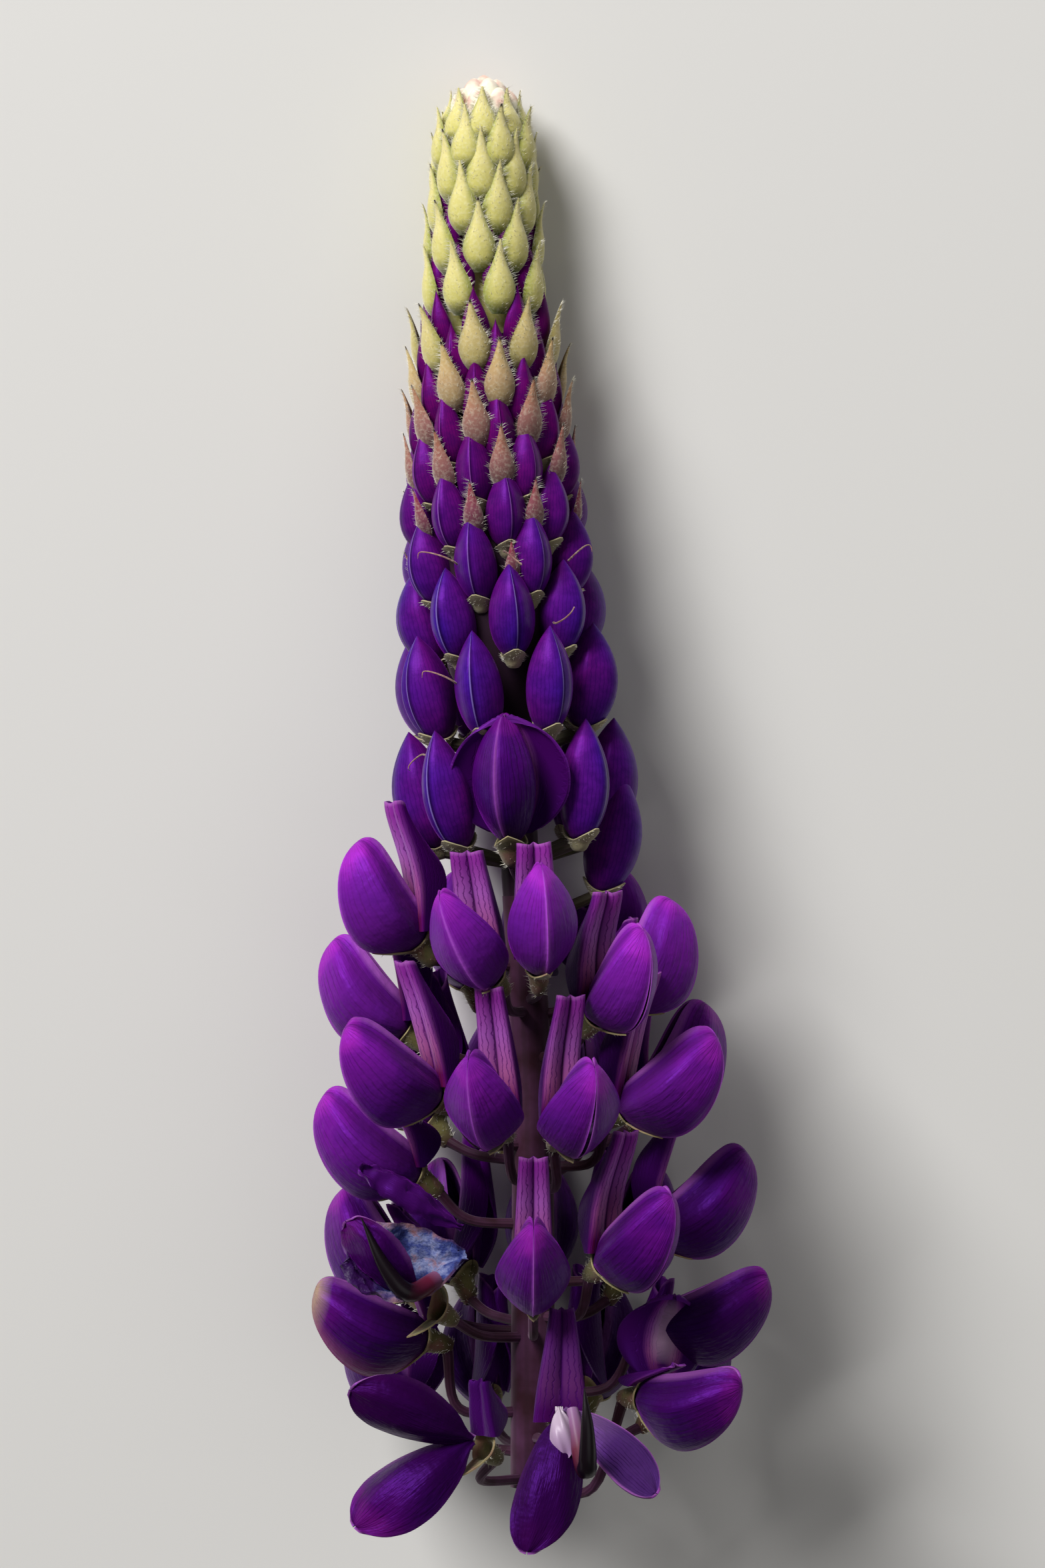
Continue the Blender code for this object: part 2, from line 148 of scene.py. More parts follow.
def closedPod(points, ends, surface, **marks):
    # a body of rings: each row is a ring that closes on itself, with a fan to a point at each end
    rows, cols = points.shape[:2]
    index = np.arange(rows * cols).reshape(rows, cols)
    after = np.roll(index, -1, axis=1)
    quads = np.stack([index[:-1], after[:-1], after[1:], index[1:]], -1).reshape(-1, 4)
    foot = np.stack([after[0], index[0], np.full(cols, rows * cols)], -1)
    tip = np.stack([index[-1], after[-1], np.full(cols, rows * cols + 1)], -1)
    u, v = np.arange(cols + 1) / cols, np.linspace(0.0, 1.0, rows + 2)
    left, right, middle, low, high = u[:-1], u[1:], (u[:-1] + u[1:]) / 2, v[1:-2, None], v[2:-1, None]
    corners = (((left, low), (right, low), (right, high), (left, high)),
               ((right, v[1]), (left, v[1]), (middle, 0.0)), ((left, v[-2]), (right, v[-2]), (middle, 1.0)))
    uv = [np.stack([together(*corner) for corner in each], -2).reshape(-1, len(each), 2) for each in corners]
    allPoints = np.concatenate([points.reshape(-1, 3), np.array(ends, float)])
    return part(allPoints, [quads, foot, tip], uv, surface, **marks)


def ringRound(ahead, awayFrom, radii, turn):
    # offsets to rings square to a direction: radius times the cosine of the turn along one side
    # vector and its sine along the other
    side = unit(np.cross(ahead, awayFrom))
    other = np.cross(ahead, side)
    one, two = (wave(turn)[None, :, None] for wave in (np.cos, np.sin))
    return radii[..., None] * (one * side[:, None] + two * other[:, None])


def tubePart(path, radii, cols, surface, ribs=0.0, **marks):
    # a tube: rings of given radius stand square to the path; nine ribs swell them by a cosine
    path, radii = np.asarray(path, float), np.asarray(radii, float)
    ahead = unit(np.gradient(path, axis=0))
    turn = np.linspace(0.0, 2.0 * np.pi, cols, endpoint=False)
    awayFrom = (0.31, 0.12, 0.94) if abs(ahead[0][2]) < 0.9 else (0.94, 0.12, 0.31)  # never along the path
    wide = radii[:, None] * (1.0 + ribs * np.cos(9 * turn))
    return closedPod(path[:, None] + ringRound(ahead, awayFrom, wide, turn), [path[0], path[-1]], surface, **marks)


def hairPart(roots, directions, lengths, radius):
    # needles: a ring of three points round each root, and one point at its end
    ahead = unit(directions)
    thirds = np.array([0.0, 2.0944, 4.1888])
    base = roots[:, None] + ringRound(ahead, (0.31, 0.90, 0.29), np.full((1, 3), radius), thirds)
    tip = roots + ahead * lengths[:, None]
    points = np.concatenate([base, tip[:, None]], 1).reshape(-1, 3)
    start = 4 * np.arange(len(roots))[:, None, None]
    faces = (start + np.array([[0, 1, 3], [1, 2, 3], [2, 0, 3], [2, 1, 0]])[None]).reshape(-1, 3)
    return part(points, [faces], [np.zeros((len(faces), 3, 2))], "silverHair")


def placed(bit, place):
    # the bit with each point turned and shifted by the place
    return {**bit, "points": bit["points"] @ place[:3, :3].T + place[:3, 3]}


pieceForm = {"pressedBelow": 0.4, "smoothBelow": 50.0}  # mm over the floor; degrees between faces


def makePiece(name, bits, surfaces, nodes=()):
    # joins the bits into one mesh in the frame's metres. What lies lower than a small height dies
    # away to the floor as the exponential of its depth, so nothing reaches through
    points = np.concatenate([placed(bit, lie)["points"] for bit in bits])
    low, near = points[:, 2], pieceForm["pressedBelow"]
    points[:, 2] = np.where(low < near, near * np.exp(np.minimum(low - near, 0.0) / near), low)
    starts = np.cumsum([0] + [len(bit["points"]) for bit in bits])
    corners, totals, uv, chosen = [], [], [], []
    for start, bit in zip(starts, bits):
        for faces, faceUv in zip(bit["faces"], bit["uv"]):
            corners.append((faces + start).reshape(-1))
            totals.append(np.full(len(faces), faces.shape[1]))
            uv.append(np.asarray(faceUv).reshape(-1, 2))
            chosen.append(np.full(len(faces), surfaces.index(bit["surface"])))
    corners, totals = np.concatenate(corners), np.concatenate(totals)
    mesh = bpy.data.meshes.new(name)
    mesh.vertices.add(len(points))
    mesh.vertices.foreach_set("co", (points * mm).astype(np.float32).ravel())
    mesh.loops.add(len(corners))
    mesh.loops.foreach_set("vertex_index", corners.astype(np.int32))
    mesh.polygons.add(len(totals))
    mesh.polygons.foreach_set("loop_start", np.concatenate([[0], np.cumsum(totals)[:-1]]).astype(np.int32))
    mesh.update(calc_edges=True)
    mesh.polygons.foreach_set("material_index", np.concatenate(chosen).astype(np.int32))
    mesh.uv_layers.new(name="petalMap").data.foreach_set("uv", np.concatenate(uv).astype(np.float32).ravel())
    for key in sorted({key for bit in bits for key in bit["marks"]}):
        values = [bit["marks"].get(key, np.zeros(len(bit["points"]))) for bit in bits]
        mesh.attributes.new(key, "FLOAT", "POINT").data.foreach_set("value", np.concatenate(values).astype(np.float32))
    mesh.validate()
    mesh.shade_smooth()
    mesh.set_sharp_from_angle(angle=math.radians(pieceForm["smoothBelow"]))
    for surface in surfaces:
        mesh.materials.append(materials[surface])
    made = bpy.data.objects.new(name, mesh)
    bpy.context.scene.collection.objects.link(made)
    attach(made, "root")
    if nodes:
        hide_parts(*nodes)


def hexLinear(code):
    # a colour written as hex, each part taken from its screen value to its linear one
    parts = np.array([int(code[at:at + 2], 16) for at in (1, 3, 5)]) / 255.0
    linear = np.where(parts <= 0.04045, parts / 12.92, ((parts + 0.055) / 1.055) ** 2.4)
    return (*linear.tolist(), 1.0)


# what a kind of node is always set to, the inputs and the output that are its main ones
usual = {"Mix": {"data_type": "RGBA"}, "UVMap": {"uv_map": "petalMap"},
         "TexWave": {"wave_type": "BANDS", "bands_direction": "X"}}
mainInputs = {"Mix": (0, 6, 7), "TexNoise": ("Vector", "Scale", "Detail", "Roughness"),
              "TexWave": ("Vector", "Scale", "Distortion", "Detail", "Detail Scale"),
              "Bump": ("Height", "Strength", "Distance")}
mainOutput = {"Mix": 2, "TexCoord": 3, "Attribute": 2, "TexWave": 1}


def makeMaterial(build, look):
    # the material's own function adds its nodes and says what goes into the shader's inputs
    made = bpy.data.materials.new(build.__name__)
    made.use_nodes = True
    tree = made.node_tree

    def colourOf(value):
        # hex, or a name in the look, as a linear colour; a number as the grey of that value
        return hexLinear(look.get(value, value)) if isinstance(value, str) else (value, value, value, 1.0)

    def give(node, inputs):
        # an input takes a number, a colour, or the output that is linked to it
        for key, value in inputs.items():
            if isinstance(value, bpy.types.NodeSocket):
                tree.links.new(value, node.inputs[key])
            else:
                node.inputs[key].default_value = colourOf(value) if isinstance(value, str) else value

    def add(kind, *given, **settings):
        # one node with its settings. What is given goes to its main inputs in order; a dictionary
        # names its inputs itself, and a pair is a stop of a ramp. Its main output comes back
        node = tree.nodes.new("ShaderNode" + kind)
        for key, value in {**usual.get(kind, {}), **settings}.items():
            setattr(node, key, value)
        plain = [value for value in given if not isinstance(value, (dict, tuple))]
        give(node, dict(zip(mainInputs.get(kind, (0, 1, 2)), plain)))
        for inputs in (value for value in given if isinstance(value, dict)):
            give(node, inputs)
        for number, (position, value) in enumerate(value for value in given if isinstance(value, tuple)):
            if number > 1:
                node.color_ramp.elements.new(1.0)
            node.color_ramp.elements[number].position = position
            node.color_ramp.elements[number].color = colourOf(value)
        return node.outputs[mainOutput.get(kind, 0)]

    give(tree.nodes["Principled BSDF"], build(add))
    return made


def sourcesOf(add, *names):
    # what a pattern starts from: the map and its two coordinates, the place on the piece, the
    # distance from the middle line with its sign and without, or a mark that the points carry
    known = {"uv": add("UVMap"), "place": add("TexCoord")}
    known["across"], known["along"] = add("SeparateXYZ", known["uv"]).node.outputs[:2]
    if "off" in names:
        known["side"] = add("Math", known["across"], 0.5, operation="SUBTRACT")
        known["off"] = add("Math", known["side"], operation="ABSOLUTE")
    return [known[name] if name in known else add("Attribute", attribute_name=name) for name in names]


# A living petal is a thin skin of small domed cells full of violet sap. Their sides colour what
# they reflect, so the eye gets velvet: deep violet, and a coloured glow where it turns away.
petalFinish = {"Roughness": 0.4, "Specular IOR Level": 0.5, "IOR": 1.42, "Specular Tint": "#8a34e0",
               "Sheen Weight": 0.45, "Sheen Roughness": 0.3, "Sheen Tint": "#a028cc"}

# The wings go from nearly black violet at the foot to lilac magenta at the tip, partly their own
# colour and partly painted shade below and a painted highlight above, with veins 0.7 mm apart that
# fan up from the foot and fade, a thin pale line where the two meet, and fine wrinkles.
wingLook = {"foot": "#1c022a", "low": "#2c044a", "mid": "#430868", "high": "#6c0f8c", "tip": "#9a20aa",
            "blue": "#360a70", "seam": "#b858d6", "vein": "#180228", "rim": "#b468c0", "pale": "#a636cc",
            "inner": "#4a2868", "innerFoot": "#7a5888", "cream": "#a8906e", "pink": "#8c4468", "deep": "#240230"}


def wingPetal(add):
    uv, place, across, along, inside, paleness, faded, deepness = sourcesOf(
        add, "uv", "place", "across", "along", "inside", "paleness", "faded", "deepness")
    patches = add("TexNoise", place, 240.0, 2.0)  # 4 mm
    # painted shade and painted highlight: darker towards the foot and lighter towards the tip, partly the petal's own
    # colour and partly light from above painted in
    height = add("Math", patches, 0.26, along, operation="MULTIPLY_ADD")
    body = add("ValToRGB", height, (0.16, "foot"), (0.42, "low"), (0.7, "mid"), (0.92, "high"), (1.0, "tip"))
    clouds = add("TexNoise", place, 150.0, 1.0)  # 7 mm
    cooler = add("ValToRGB", clouds, (0.48, 0.0), (0.68, 0.5))
    veins = add("TexWave", uv, 5.0, 5.0, 3.0, 1.0)
    lines = add("ValToRGB", veins, (0.0, 1.0), (0.2, 0.0))
    fading = add("TexNoise", place, 380.0)  # 2.6 mm
    strength = add("ValToRGB", fading, (0.35, 0.15), (0.65, 0.75))
    veining = add("Math", lines, strength, operation="MULTIPLY")
    seam = add("ValToRGB", across, (0.0, 0.85), (0.015, 0.5), (0.05, 0.14), (0.12, 0.0))
    # the back edge is rolled over and shows a pink rim, widest halfway down, beside a furrow painted
    # dark as shade in the crease
    creaseShade = add("ValToRGB", across, (0.68, 0.0), (0.82, 0.6), (0.88, 0.0))
    back = add("ValToRGB", across, (0.88, 0.0), (0.94, 0.85))
    reach = add("ValToRGB", along, (0.2, 0.0), (0.4, 1.0), (0.7, 0.7), (0.9, 0.15))
    # a fading petal turns pink on one side and cream at its tip
    pinkSide = add("ValToRGB", across, (0.05, 0.8), (0.35, 0.0))
    creamTip = add("ValToRGB", along, (0.78, 0.0), (0.92, 0.8))
    rolled, pinked, creamed = (add("Math", one, other, operation="MULTIPLY")
                               for one, other in ((back, reach), (pinkSide, faded), (creamTip, faded)))
    # the pale lift is partly the upper flowers' own paler colour and partly a painted highlight; the deep darkening is
    # partly the lower flowers' own darker colour and partly painted shade
    for share, colour in ((cooler, "blue"), (veining, "vein"), (seam, "seam"), (creaseShade, "foot"), (rolled, "rim"),
                          (paleness, "pale"), (deepness, "deep"), (pinked, "pink"), (creamed, "cream")):
        body = add("Mix", share, body, colour)
    # the inner face is duller, veined too, with a pale hem at both rims
    lining = add("ValToRGB", along, (0.1, "innerFoot"), (0.5, "inner"))
    hem = add("ValToRGB", across, (0.055, 0.7), (0.09, 0.0), (0.9, 0.0), (0.94, 0.7))
    hemmed = add("Mix", hem, add("Mix", veining, lining, "vein"), "rim")
    # fine wrinkles 0.35 mm apart run with the veins, over soft folds 1.5 mm apart
    drawn = add("Mapping", {"Vector": uv, "Scale": (34.0, 7.0, 1.0)})
    wrinkles = add("TexNoise", drawn, 1.0, 3.0, {"Distortion": 0.6})
    folds = add("TexNoise", place, 650.0, 2.0)
    relief = add("Math", wrinkles, 0.55, folds, operation="MULTIPLY_ADD")
    return {**petalFinish, "Base Color": add("Mix", inside, body, hemmed),
            "Normal": add("Bump", relief, 0.55, 0.0003)}


# The banner stands behind the wings. The eye gets two satin pleats, lilac pink with a net of fine
# dark veins and painted shade at their sides, a groove painted dark as shade between them, and
# folded-back sides in the deepest violet; low banners are darker, partly in colour and partly as painted shade.
bannerLook = {"claw": "#5a0e38", "foot": "#a4568e", "face": "#a458b0", "top": "#8e3098", "flank": "#2a0340",
              "flankHigh": "#4a0662", "vein": "#521262", "seam": "#2a0436", "rim": "#c070c8", "deep": "#3a0a52",
              "inside": "#5a1c76", "streak": "#e0b8d2"}


def bannerPetal(add):
    uv, along, off, inside, deepness, streaked = sourcesOf(add, "uv", "along", "off", "inside", "deepness", "streaked")
    body = add("ValToRGB", along, (0.1, "claw"), (0.32, "foot"), (0.62, "face"), (0.9, "top"))
    flank = add("ValToRGB", along, (0.2, "flank"), (1.0, "flankHigh"))
    # each pleat is painted lighter along its middle and darker at its edges, as painted shade that
    # rounds it; long veins 0.5 mm apart wander and join
    pleatShade = add("ValToRGB", off, (0.0, 0.35), (0.05, 0.0), (0.12, 0.05), (0.18, 0.6))
    threads = add("TexWave", uv, 7.0, 4.0, 3.0, 2.2)
    net = add("ValToRGB", threads, (0.0, 0.8), (0.16, 0.0))
    turning = add("ValToRGB", off, (0.17, 0.0), (0.24, 1.0))
    # painted shade: the groove between the two pleats is painted nearly black
    middle = add("ValToRGB", off, (0.0, 0.9), (0.012, 0.0))
    top = add("ValToRGB", along, (0.965, 0.0), (1.0, 0.6))
    # a young banner keeps a pale streak along its middle
    near = add("ValToRGB", off, (0.0, 1.0), (0.03, 0.6), (0.1, 0.0))
    patch = add("ValToRGB", along, (0.2, 0.0), (0.45, 1.0), (0.8, 0.6), (0.95, 0.0))
    spot = add("Math", near, patch, operation="MULTIPLY")
    shown = add("Math", spot, streaked, operation="MULTIPLY")
    # the deep share darkens the low banners, partly their own darker colour and partly painted shade
    for share, colour in ((pleatShade, "flankHigh"), (net, "vein"), (turning, flank), (middle, "seam"), (top, "rim"),
                          (deepness, "deep"), (shown, "streak"), (inside, "inside")):
        body = add("Mix", share, body, colour)
    return {**petalFinish, "Base Color": body,
            "Normal": add("Bump", net, 0.35, 0.00012, invert=True)}


# A closed bud is its banner folded shut, smoother than an open one. The eye gets blue violet
# beside a fine lilac seam with a groove painted dark as shade, redder flanks, and magenta on the young buds near the
# tip.
budLook = {"blue": "#38148c", "violet": "#4a1280", "magenta": "#5c0e70", "young": "#62085a", "line": "#9a86cc",
           "youngLine": "#b03cae", "groove": "#100328", "speck": "#1c064a", "gloss": "#9a34d4"}


def budPetal(add):
    uv, place, along, side, off, youth, parting = sourcesOf(
        add, "uv", "place", "along", "side", "off", "youth", "parting")
    clouds = add("TexNoise", place, 170.0, 1.0)  # 6 mm
    uneven = add("Math", clouds, 0.3, off, operation="MULTIPLY_ADD")
    body = add("ValToRGB", uneven, (0.1, "blue"), (0.22, "violet"), (0.42, "magenta"))
    cells = add("TexNoise", place, 900.0, 4.0, 0.6)  # 1.1 mm
    spots = add("ValToRGB", cells, (0.38, 0.35), (0.6, 0.0))
    # faint veins 0.4 mm apart run from the foot to the tip
    veins = add("TexWave", uv, 12.0, 3.0, 2.0, 1.5)
    lines = add("ValToRGB", veins, (0.0, 0.4), (0.25, 0.0))
    # the overlapping edge runs beside the middle line, further from it where the bud has begun to part;
    # beside it, the groove under the edge is painted nearly black as shade
    bow = add("Math", add("Math", along, 3.1416, operation="MULTIPLY"), operation="SINE")
    shift = add("Math", bow, parting, operation="MULTIPLY")
    fromLine = add("Math", side, shift, operation="SUBTRACT")
    groove = add("ValToRGB", fromLine, (0.0, 0.0), (0.01, 0.85), (0.045, 0.0))
    near = add("Math", fromLine, operation="ABSOLUTE")
    line = add("ValToRGB", near, (0.0, 0.6), (0.003, 0.45), (0.007, 0.0))
    for share, colour in ((youth, "young"), (spots, "speck"), (lines, "speck"), (groove, "groove"),
                          (line, add("Mix", youth, "line", "youngLine"))):
        body = add("Mix", share, body, colour)
    return {**petalFinish, "Roughness": 0.36, "Specular Tint": "gloss", "Base Color": body,
            "Normal": add("Bump", cells, 0.3, 0.00015)}


# A bract is a soft green leaf felted with silver hairs. The eye gets a dull surface, olive green at its
# foot and edges, partly its own colour and partly painted shade in the hollows, pale yellow along the
# middle; an old one is peach, then dark red.
bractLook = {"foot": "#4c5a10", "edge": "#7e8a2e", "middle": "#cac26c", "tail": "#d8cc88", "dusk": "#7c4e58",
             "peach": "#a06a64", "gold": "#ba9060", "wine": "#4a1e34", "rust": "#763c4c", "red": "#842c40",
             "burnt": "#1e0e0c", "down": "#f4f0d8"}
feltFinish = {"Roughness": 0.65, "Specular IOR Level": 0.2, "IOR": 1.4, "Sheen Roughness": 0.5}


def bractFelt(add):
    place, along, off, age, burnt = sourcesOf(add, "place", "along", "off", "age", "burnt")
    # the olive green at the foot, and at the edges below, is partly the bract's own colour and partly painted shade
    body = add("ValToRGB", along, (0.02, "foot"), (0.22, "middle"), (0.75, "tail"))
    blush = add("ValToRGB", along, (0.15, "dusk"), (0.45, "peach"), (0.8, "gold"))
    wine = add("ValToRGB", along, (0.15, "wine"), (0.5, "rust"), (0.8, "red"))
    margin = add("ValToRGB", off, (0.18, 0.0), (0.44, 0.8))
    ripe = add("ValToRGB", age, (0.1, 0.0), (0.5, 0.9), (1.0, 1.0))
    past = add("ValToRGB", age, (0.5, 0.0), (0.9, 1.0))
    down = add("TexNoise", place, 2600.0, 3.0)  # 0.4 mm tufts
    tufts = add("ValToRGB", down, (0.45, 0.0), (0.75, 0.22))
    tip = add("ValToRGB", along, (0.93, 0.0), (0.97, 1.0))
    dark = add("Math", tip, burnt, operation="MULTIPLY")
    for share, colour in ((margin, "edge"), (ripe, add("Mix", past, blush, wine)), (tufts, "down"), (dark, "burnt")):
        body = add("Mix", share, body, colour)
    return {**feltFinish, "Sheen Weight": 0.8, "Sheen Roughness": 0.45, "Sheen Tint": "#fbf8e2", "Base Color": body,
            "Normal": add("Bump", down, 0.4, 0.0001)}


# The calyx is the same downy leaf, tougher and darker. The eye gets olive with a maroon flush and
# a pale woolly rim; the calyx of a bud is paler all over.
calyxLook = {"foot": "#463424", "body": "#5c5630", "rim": "#a09468", "flush": "#7c4248", "young": "#a09878"}


def calyxFelt(add):
    place, along, youth = sourcesOf(add, "place", "along", "youth")
    body = add("ValToRGB", along, (0.1, "foot"), (0.4, "body"), (0.88, "body"), (1.0, "rim"))
    cloud = add("TexNoise", place, 420.0, 2.0)  # 2.4 mm
    blush = add("ValToRGB", cloud, (0.46, 0.0), (0.66, 0.6))
    felt = add("TexNoise", place, 3000.0, 2.0)  # 0.3 mm
    return {**feltFinish, "Roughness": 0.66, "Sheen Weight": 0.4, "Sheen Tint": "#f4f0dc",
            "Base Color": add("Mix", youth, add("Mix", blush, body, "flush"), "young"),
            "Normal": add("Bump", felt, 0.5, 0.00012)}


# The stem is a ribbed, downy green stalk that sun has turned maroon. The eye gets a dull dark red
# with a mauve bloom, and painted shade as darker lines in the grooves between its ribs; on the
# head's core, which shows only between the buds, it is painted near black as shade.
stemLook = {"maroon": "#2e0e1a", "mauve": "#4a2642", "rib": "#220a14", "green": "#5d6a38", "dark": "#180818"}


def stemSkin(add):
    uv, place, greenness, deepness = sourcesOf(add, "uv", "place", "greenness", "deepness")
    cloud = add("TexNoise", place, 240.0, 3.0)  # 4 mm
    body = add("ValToRGB", cloud, (0.36, "maroon"), (0.66, "mauve"))
    ribs = add("TexWave", uv, 2.9, 0.6)
    # painted shade: the grooves between the ribs are painted darker
    ribGrooveShade = add("ValToRGB", ribs, (0.0, 0.35), (0.5, 0.0))
    for share, colour in ((ribGrooveShade, "rib"), (greenness, "green"), (deepness, "dark")):
        body = add("Mix", share, body, colour)
    return {**feltFinish, "Roughness": 0.6, "Specular IOR Level": 0.22, "Sheen Weight": 0.25, "Sheen Tint": "#c9a8c4",
            "Base Color": body, "Normal": add("Bump", ribs, 0.3, 0.0002)}


# The keel is the waxy inner petal. The eye gets white where the wings cover it, dark red further
# out and a shining black violet point.
keelLook = {"foot": "#bcacba", "middle": "#9a74a2", "red": "#5a1830", "point": "#0e040c"}


def keelPetal(add):
    body = add("ValToRGB", *sourcesOf(add, "along"), (0.0, "foot"), (0.3, "middle"), (0.45, "red"), (0.6, "point"))
    return {"Roughness": 0.35, "Specular IOR Level": 0.4, "IOR": 1.42, "Base Color": body}


# A withered petal has lost its sap and dried papery. The eye gets creased blue and lilac grey,
# brown pink at its foot and along its edges, and dark violet where it is still alive.
witheredLook = {"ink": "#1c1440", "blue": "#343f7c", "lilac": "#757ca4", "tan": "#94686c", "brown": "#5c2a34",
                "live": "#2c0844"}


def witheredPetal(add):
    place, along, off = sourcesOf(add, "place", "along", "off")
    blots = add("TexNoise", place, 300.0, 5.0, 0.65)  # 3 mm
    body = add("ValToRGB", blots, (0.38, "ink"), (0.5, "blue"), (0.6, "lilac"), (0.72, "tan"))
    uneven = add("Math", blots, 0.3, off, operation="MULTIPLY_ADD")
    margin = add("ValToRGB", uneven, (0.56, 0.0), (0.62, 0.85))
    edge = add("ValToRGB", along, (0.2, "brown"), (0.5, "tan"))
    alive = add("ValToRGB", along, (0.7, 0.0), (0.84, 1.0))
    folds = add("TexNoise", place, 900.0, 3.0)  # 1.1 mm
    return {"Roughness": 0.5, "Specular IOR Level": 0.3, "IOR": 1.42,
            "Base Color": add("Mix", alive, add("Mix", margin, body, edge), "live"),
            "Normal": add("Bump", folds, 0.9, 0.0005)}


# Silver hairs are clear hollow cells; the eye gets thin white lines.
hairLook = {"dull": "#d6d0b8", "bright": "#faf6ea"}


def silverHair(add):
    cloud = add("TexNoise", add("TexCoord"), 500.0)  # 2 mm
    body = add("ValToRGB", cloud, (0.35, "dull"), (0.65, "bright"))
    return {"Roughness": 0.45, "Specular IOR Level": 0.5, "IOR": 1.5, "Base Color": body}


# The youngest buds are wrapped in felt; the eye gets cream with a pink flush.
youngLook = {"pink": "#dcb4a4", "cream": "#ecdcc8", "pale": "#f4f0d8"}


def youngFelt(add):
    place = add("TexCoord")
    cloud = add("TexNoise", place, 480.0, 2.0)  # 2 mm
    body = add("ValToRGB", cloud, (0.38, "pink"), (0.5, "cream"), (0.62, "pale"))
    felt = add("TexNoise", place, 3500.0, 2.0)  # 0.3 mm
    return {**feltFinish, "Sheen Weight": 0.6, "Sheen Tint": "#fffaf2", "Base Color": body,
            "Normal": add("Bump", felt, 0.5, 0.0001)}


# A freshly cut stem is wet; the eye gets a shining pale pith inside a green and maroon ring.
pithLook = {"pith": "#dfe3bf", "leaf": "#9db060", "skin": "#6a3038"}


def cutPith(add):
    body = add("ValToRGB", *sourcesOf(add, "along"), (0.0, "pith"), (0.62, "pith"), (0.85, "leaf"), (1.0, "skin"))
    return {"Roughness": 0.3, "Specular IOR Level": 0.5, "IOR": 1.38, "Base Color": body}


materials = {build.__name__: makeMaterial(build, look) for build, look in (
    (wingPetal, wingLook), (bannerPetal, bannerLook), (budPetal, budLook), (bractFelt, bractLook),
    (calyxFelt, calyxLook), (stemSkin, stemLook), (keelPetal, keelLook), (witheredPetal, witheredLook),
    (silverHair, hairLook), (youngFelt, youngLook), (cutPith, pithLook))}
print("materials made:", len(materials))


# millimetres and degrees; the spike stands along +Z here and is then laid down
spike = {"lean": -5.9, "leanFrom": 36.0, "leanTo": 150.0, "gap": 0.35, "wingTilt": 46.0, "pressedTilt": -24.0,
         "pressedIn": 0.14, "liePitch": 7.09, "lieRoll": 1.79, "lieAt": (-0.13, -82.48, 25.62)}
lie = moved(*spike["lieAt"]) @ turned("y", spike["lieRoll"]) @ turned("x", -90.0 - spike["liePitch"])


def stemPoints(heights):
    # the tip has moved to one side by the smooth step of the height, so both ends stand upright
    heights = np.asarray(heights, float)
    side = spike["lean"] * smoothStep(heights, spike["leanFrom"], spike["leanTo"])
    return together(side, 0.0, heights)


def seat(height, azimuth, radius, tilt=0.0):
    # a place beside the stem: up along its line, turned with its lean and round it, out, then tilted
    ahead = stemPoints(height + 0.5) - stemPoints(height - 0.5)
    lean = math.degrees(math.atan2(ahead[0], ahead[2]))
    return (moved(*stemPoints(height)) @ turned("y", lean) @ turned("z", azimuth - 90.0) @ moved(radius, 0.0, 0.0)
            @ turned("y", tilt))


def flowerSeat(height, azimuth, radius, strength):
    # the flowers under the lying spike are pushed in and tilted up, as a power of the cosine that
    # is greatest straight below
    pressed = strength * max(0.0, -math.cos(math.radians(azimuth))) ** 1.5
    return seat(height, azimuth, radius * (1.0 - spike["pressedIn"] * pressed), spike["pressedTilt"] * pressed)


clearOfCalyx = moved(*(turned("y", spike["wingTilt"])[:3, 2] * spike["gap"]))
frontOfThroat = clearOfCalyx @ moved(1.8, 0.0, 1.0)

wingForm = {"rows": 32, "cols": 26, "thickness": 0.3, "belly": 1.1, "keel": 0.42, "ridge": 0.16, "crease": 0.4,
            "wrap": 152.0, "scale": 0.985, "hollow": 0.35, "drawnBack": 1.7, "oblique": 1.5, "middle": 8.3}


def pouchRadii(up, size):
    # half depth and half width of the pair of wings at a share of their length: half circles, the
    # depth blunted towards the tip and the width drawn in there
    length, depth, width = size
    ring = np.sqrt(np.maximum(1.0 - (2.0 * up - 1.0) ** 2, 0.0))
    blunt = np.maximum(1.0 - np.abs(2.0 * up - 1.0) ** 2.8, 0.0) ** 0.42
    return depth / 2.0 * (ring + (blunt - ring) * up), width / 2.0 * ring * (0.9 + 0.24 * up) * (1.0 - 0.45 * up**4)


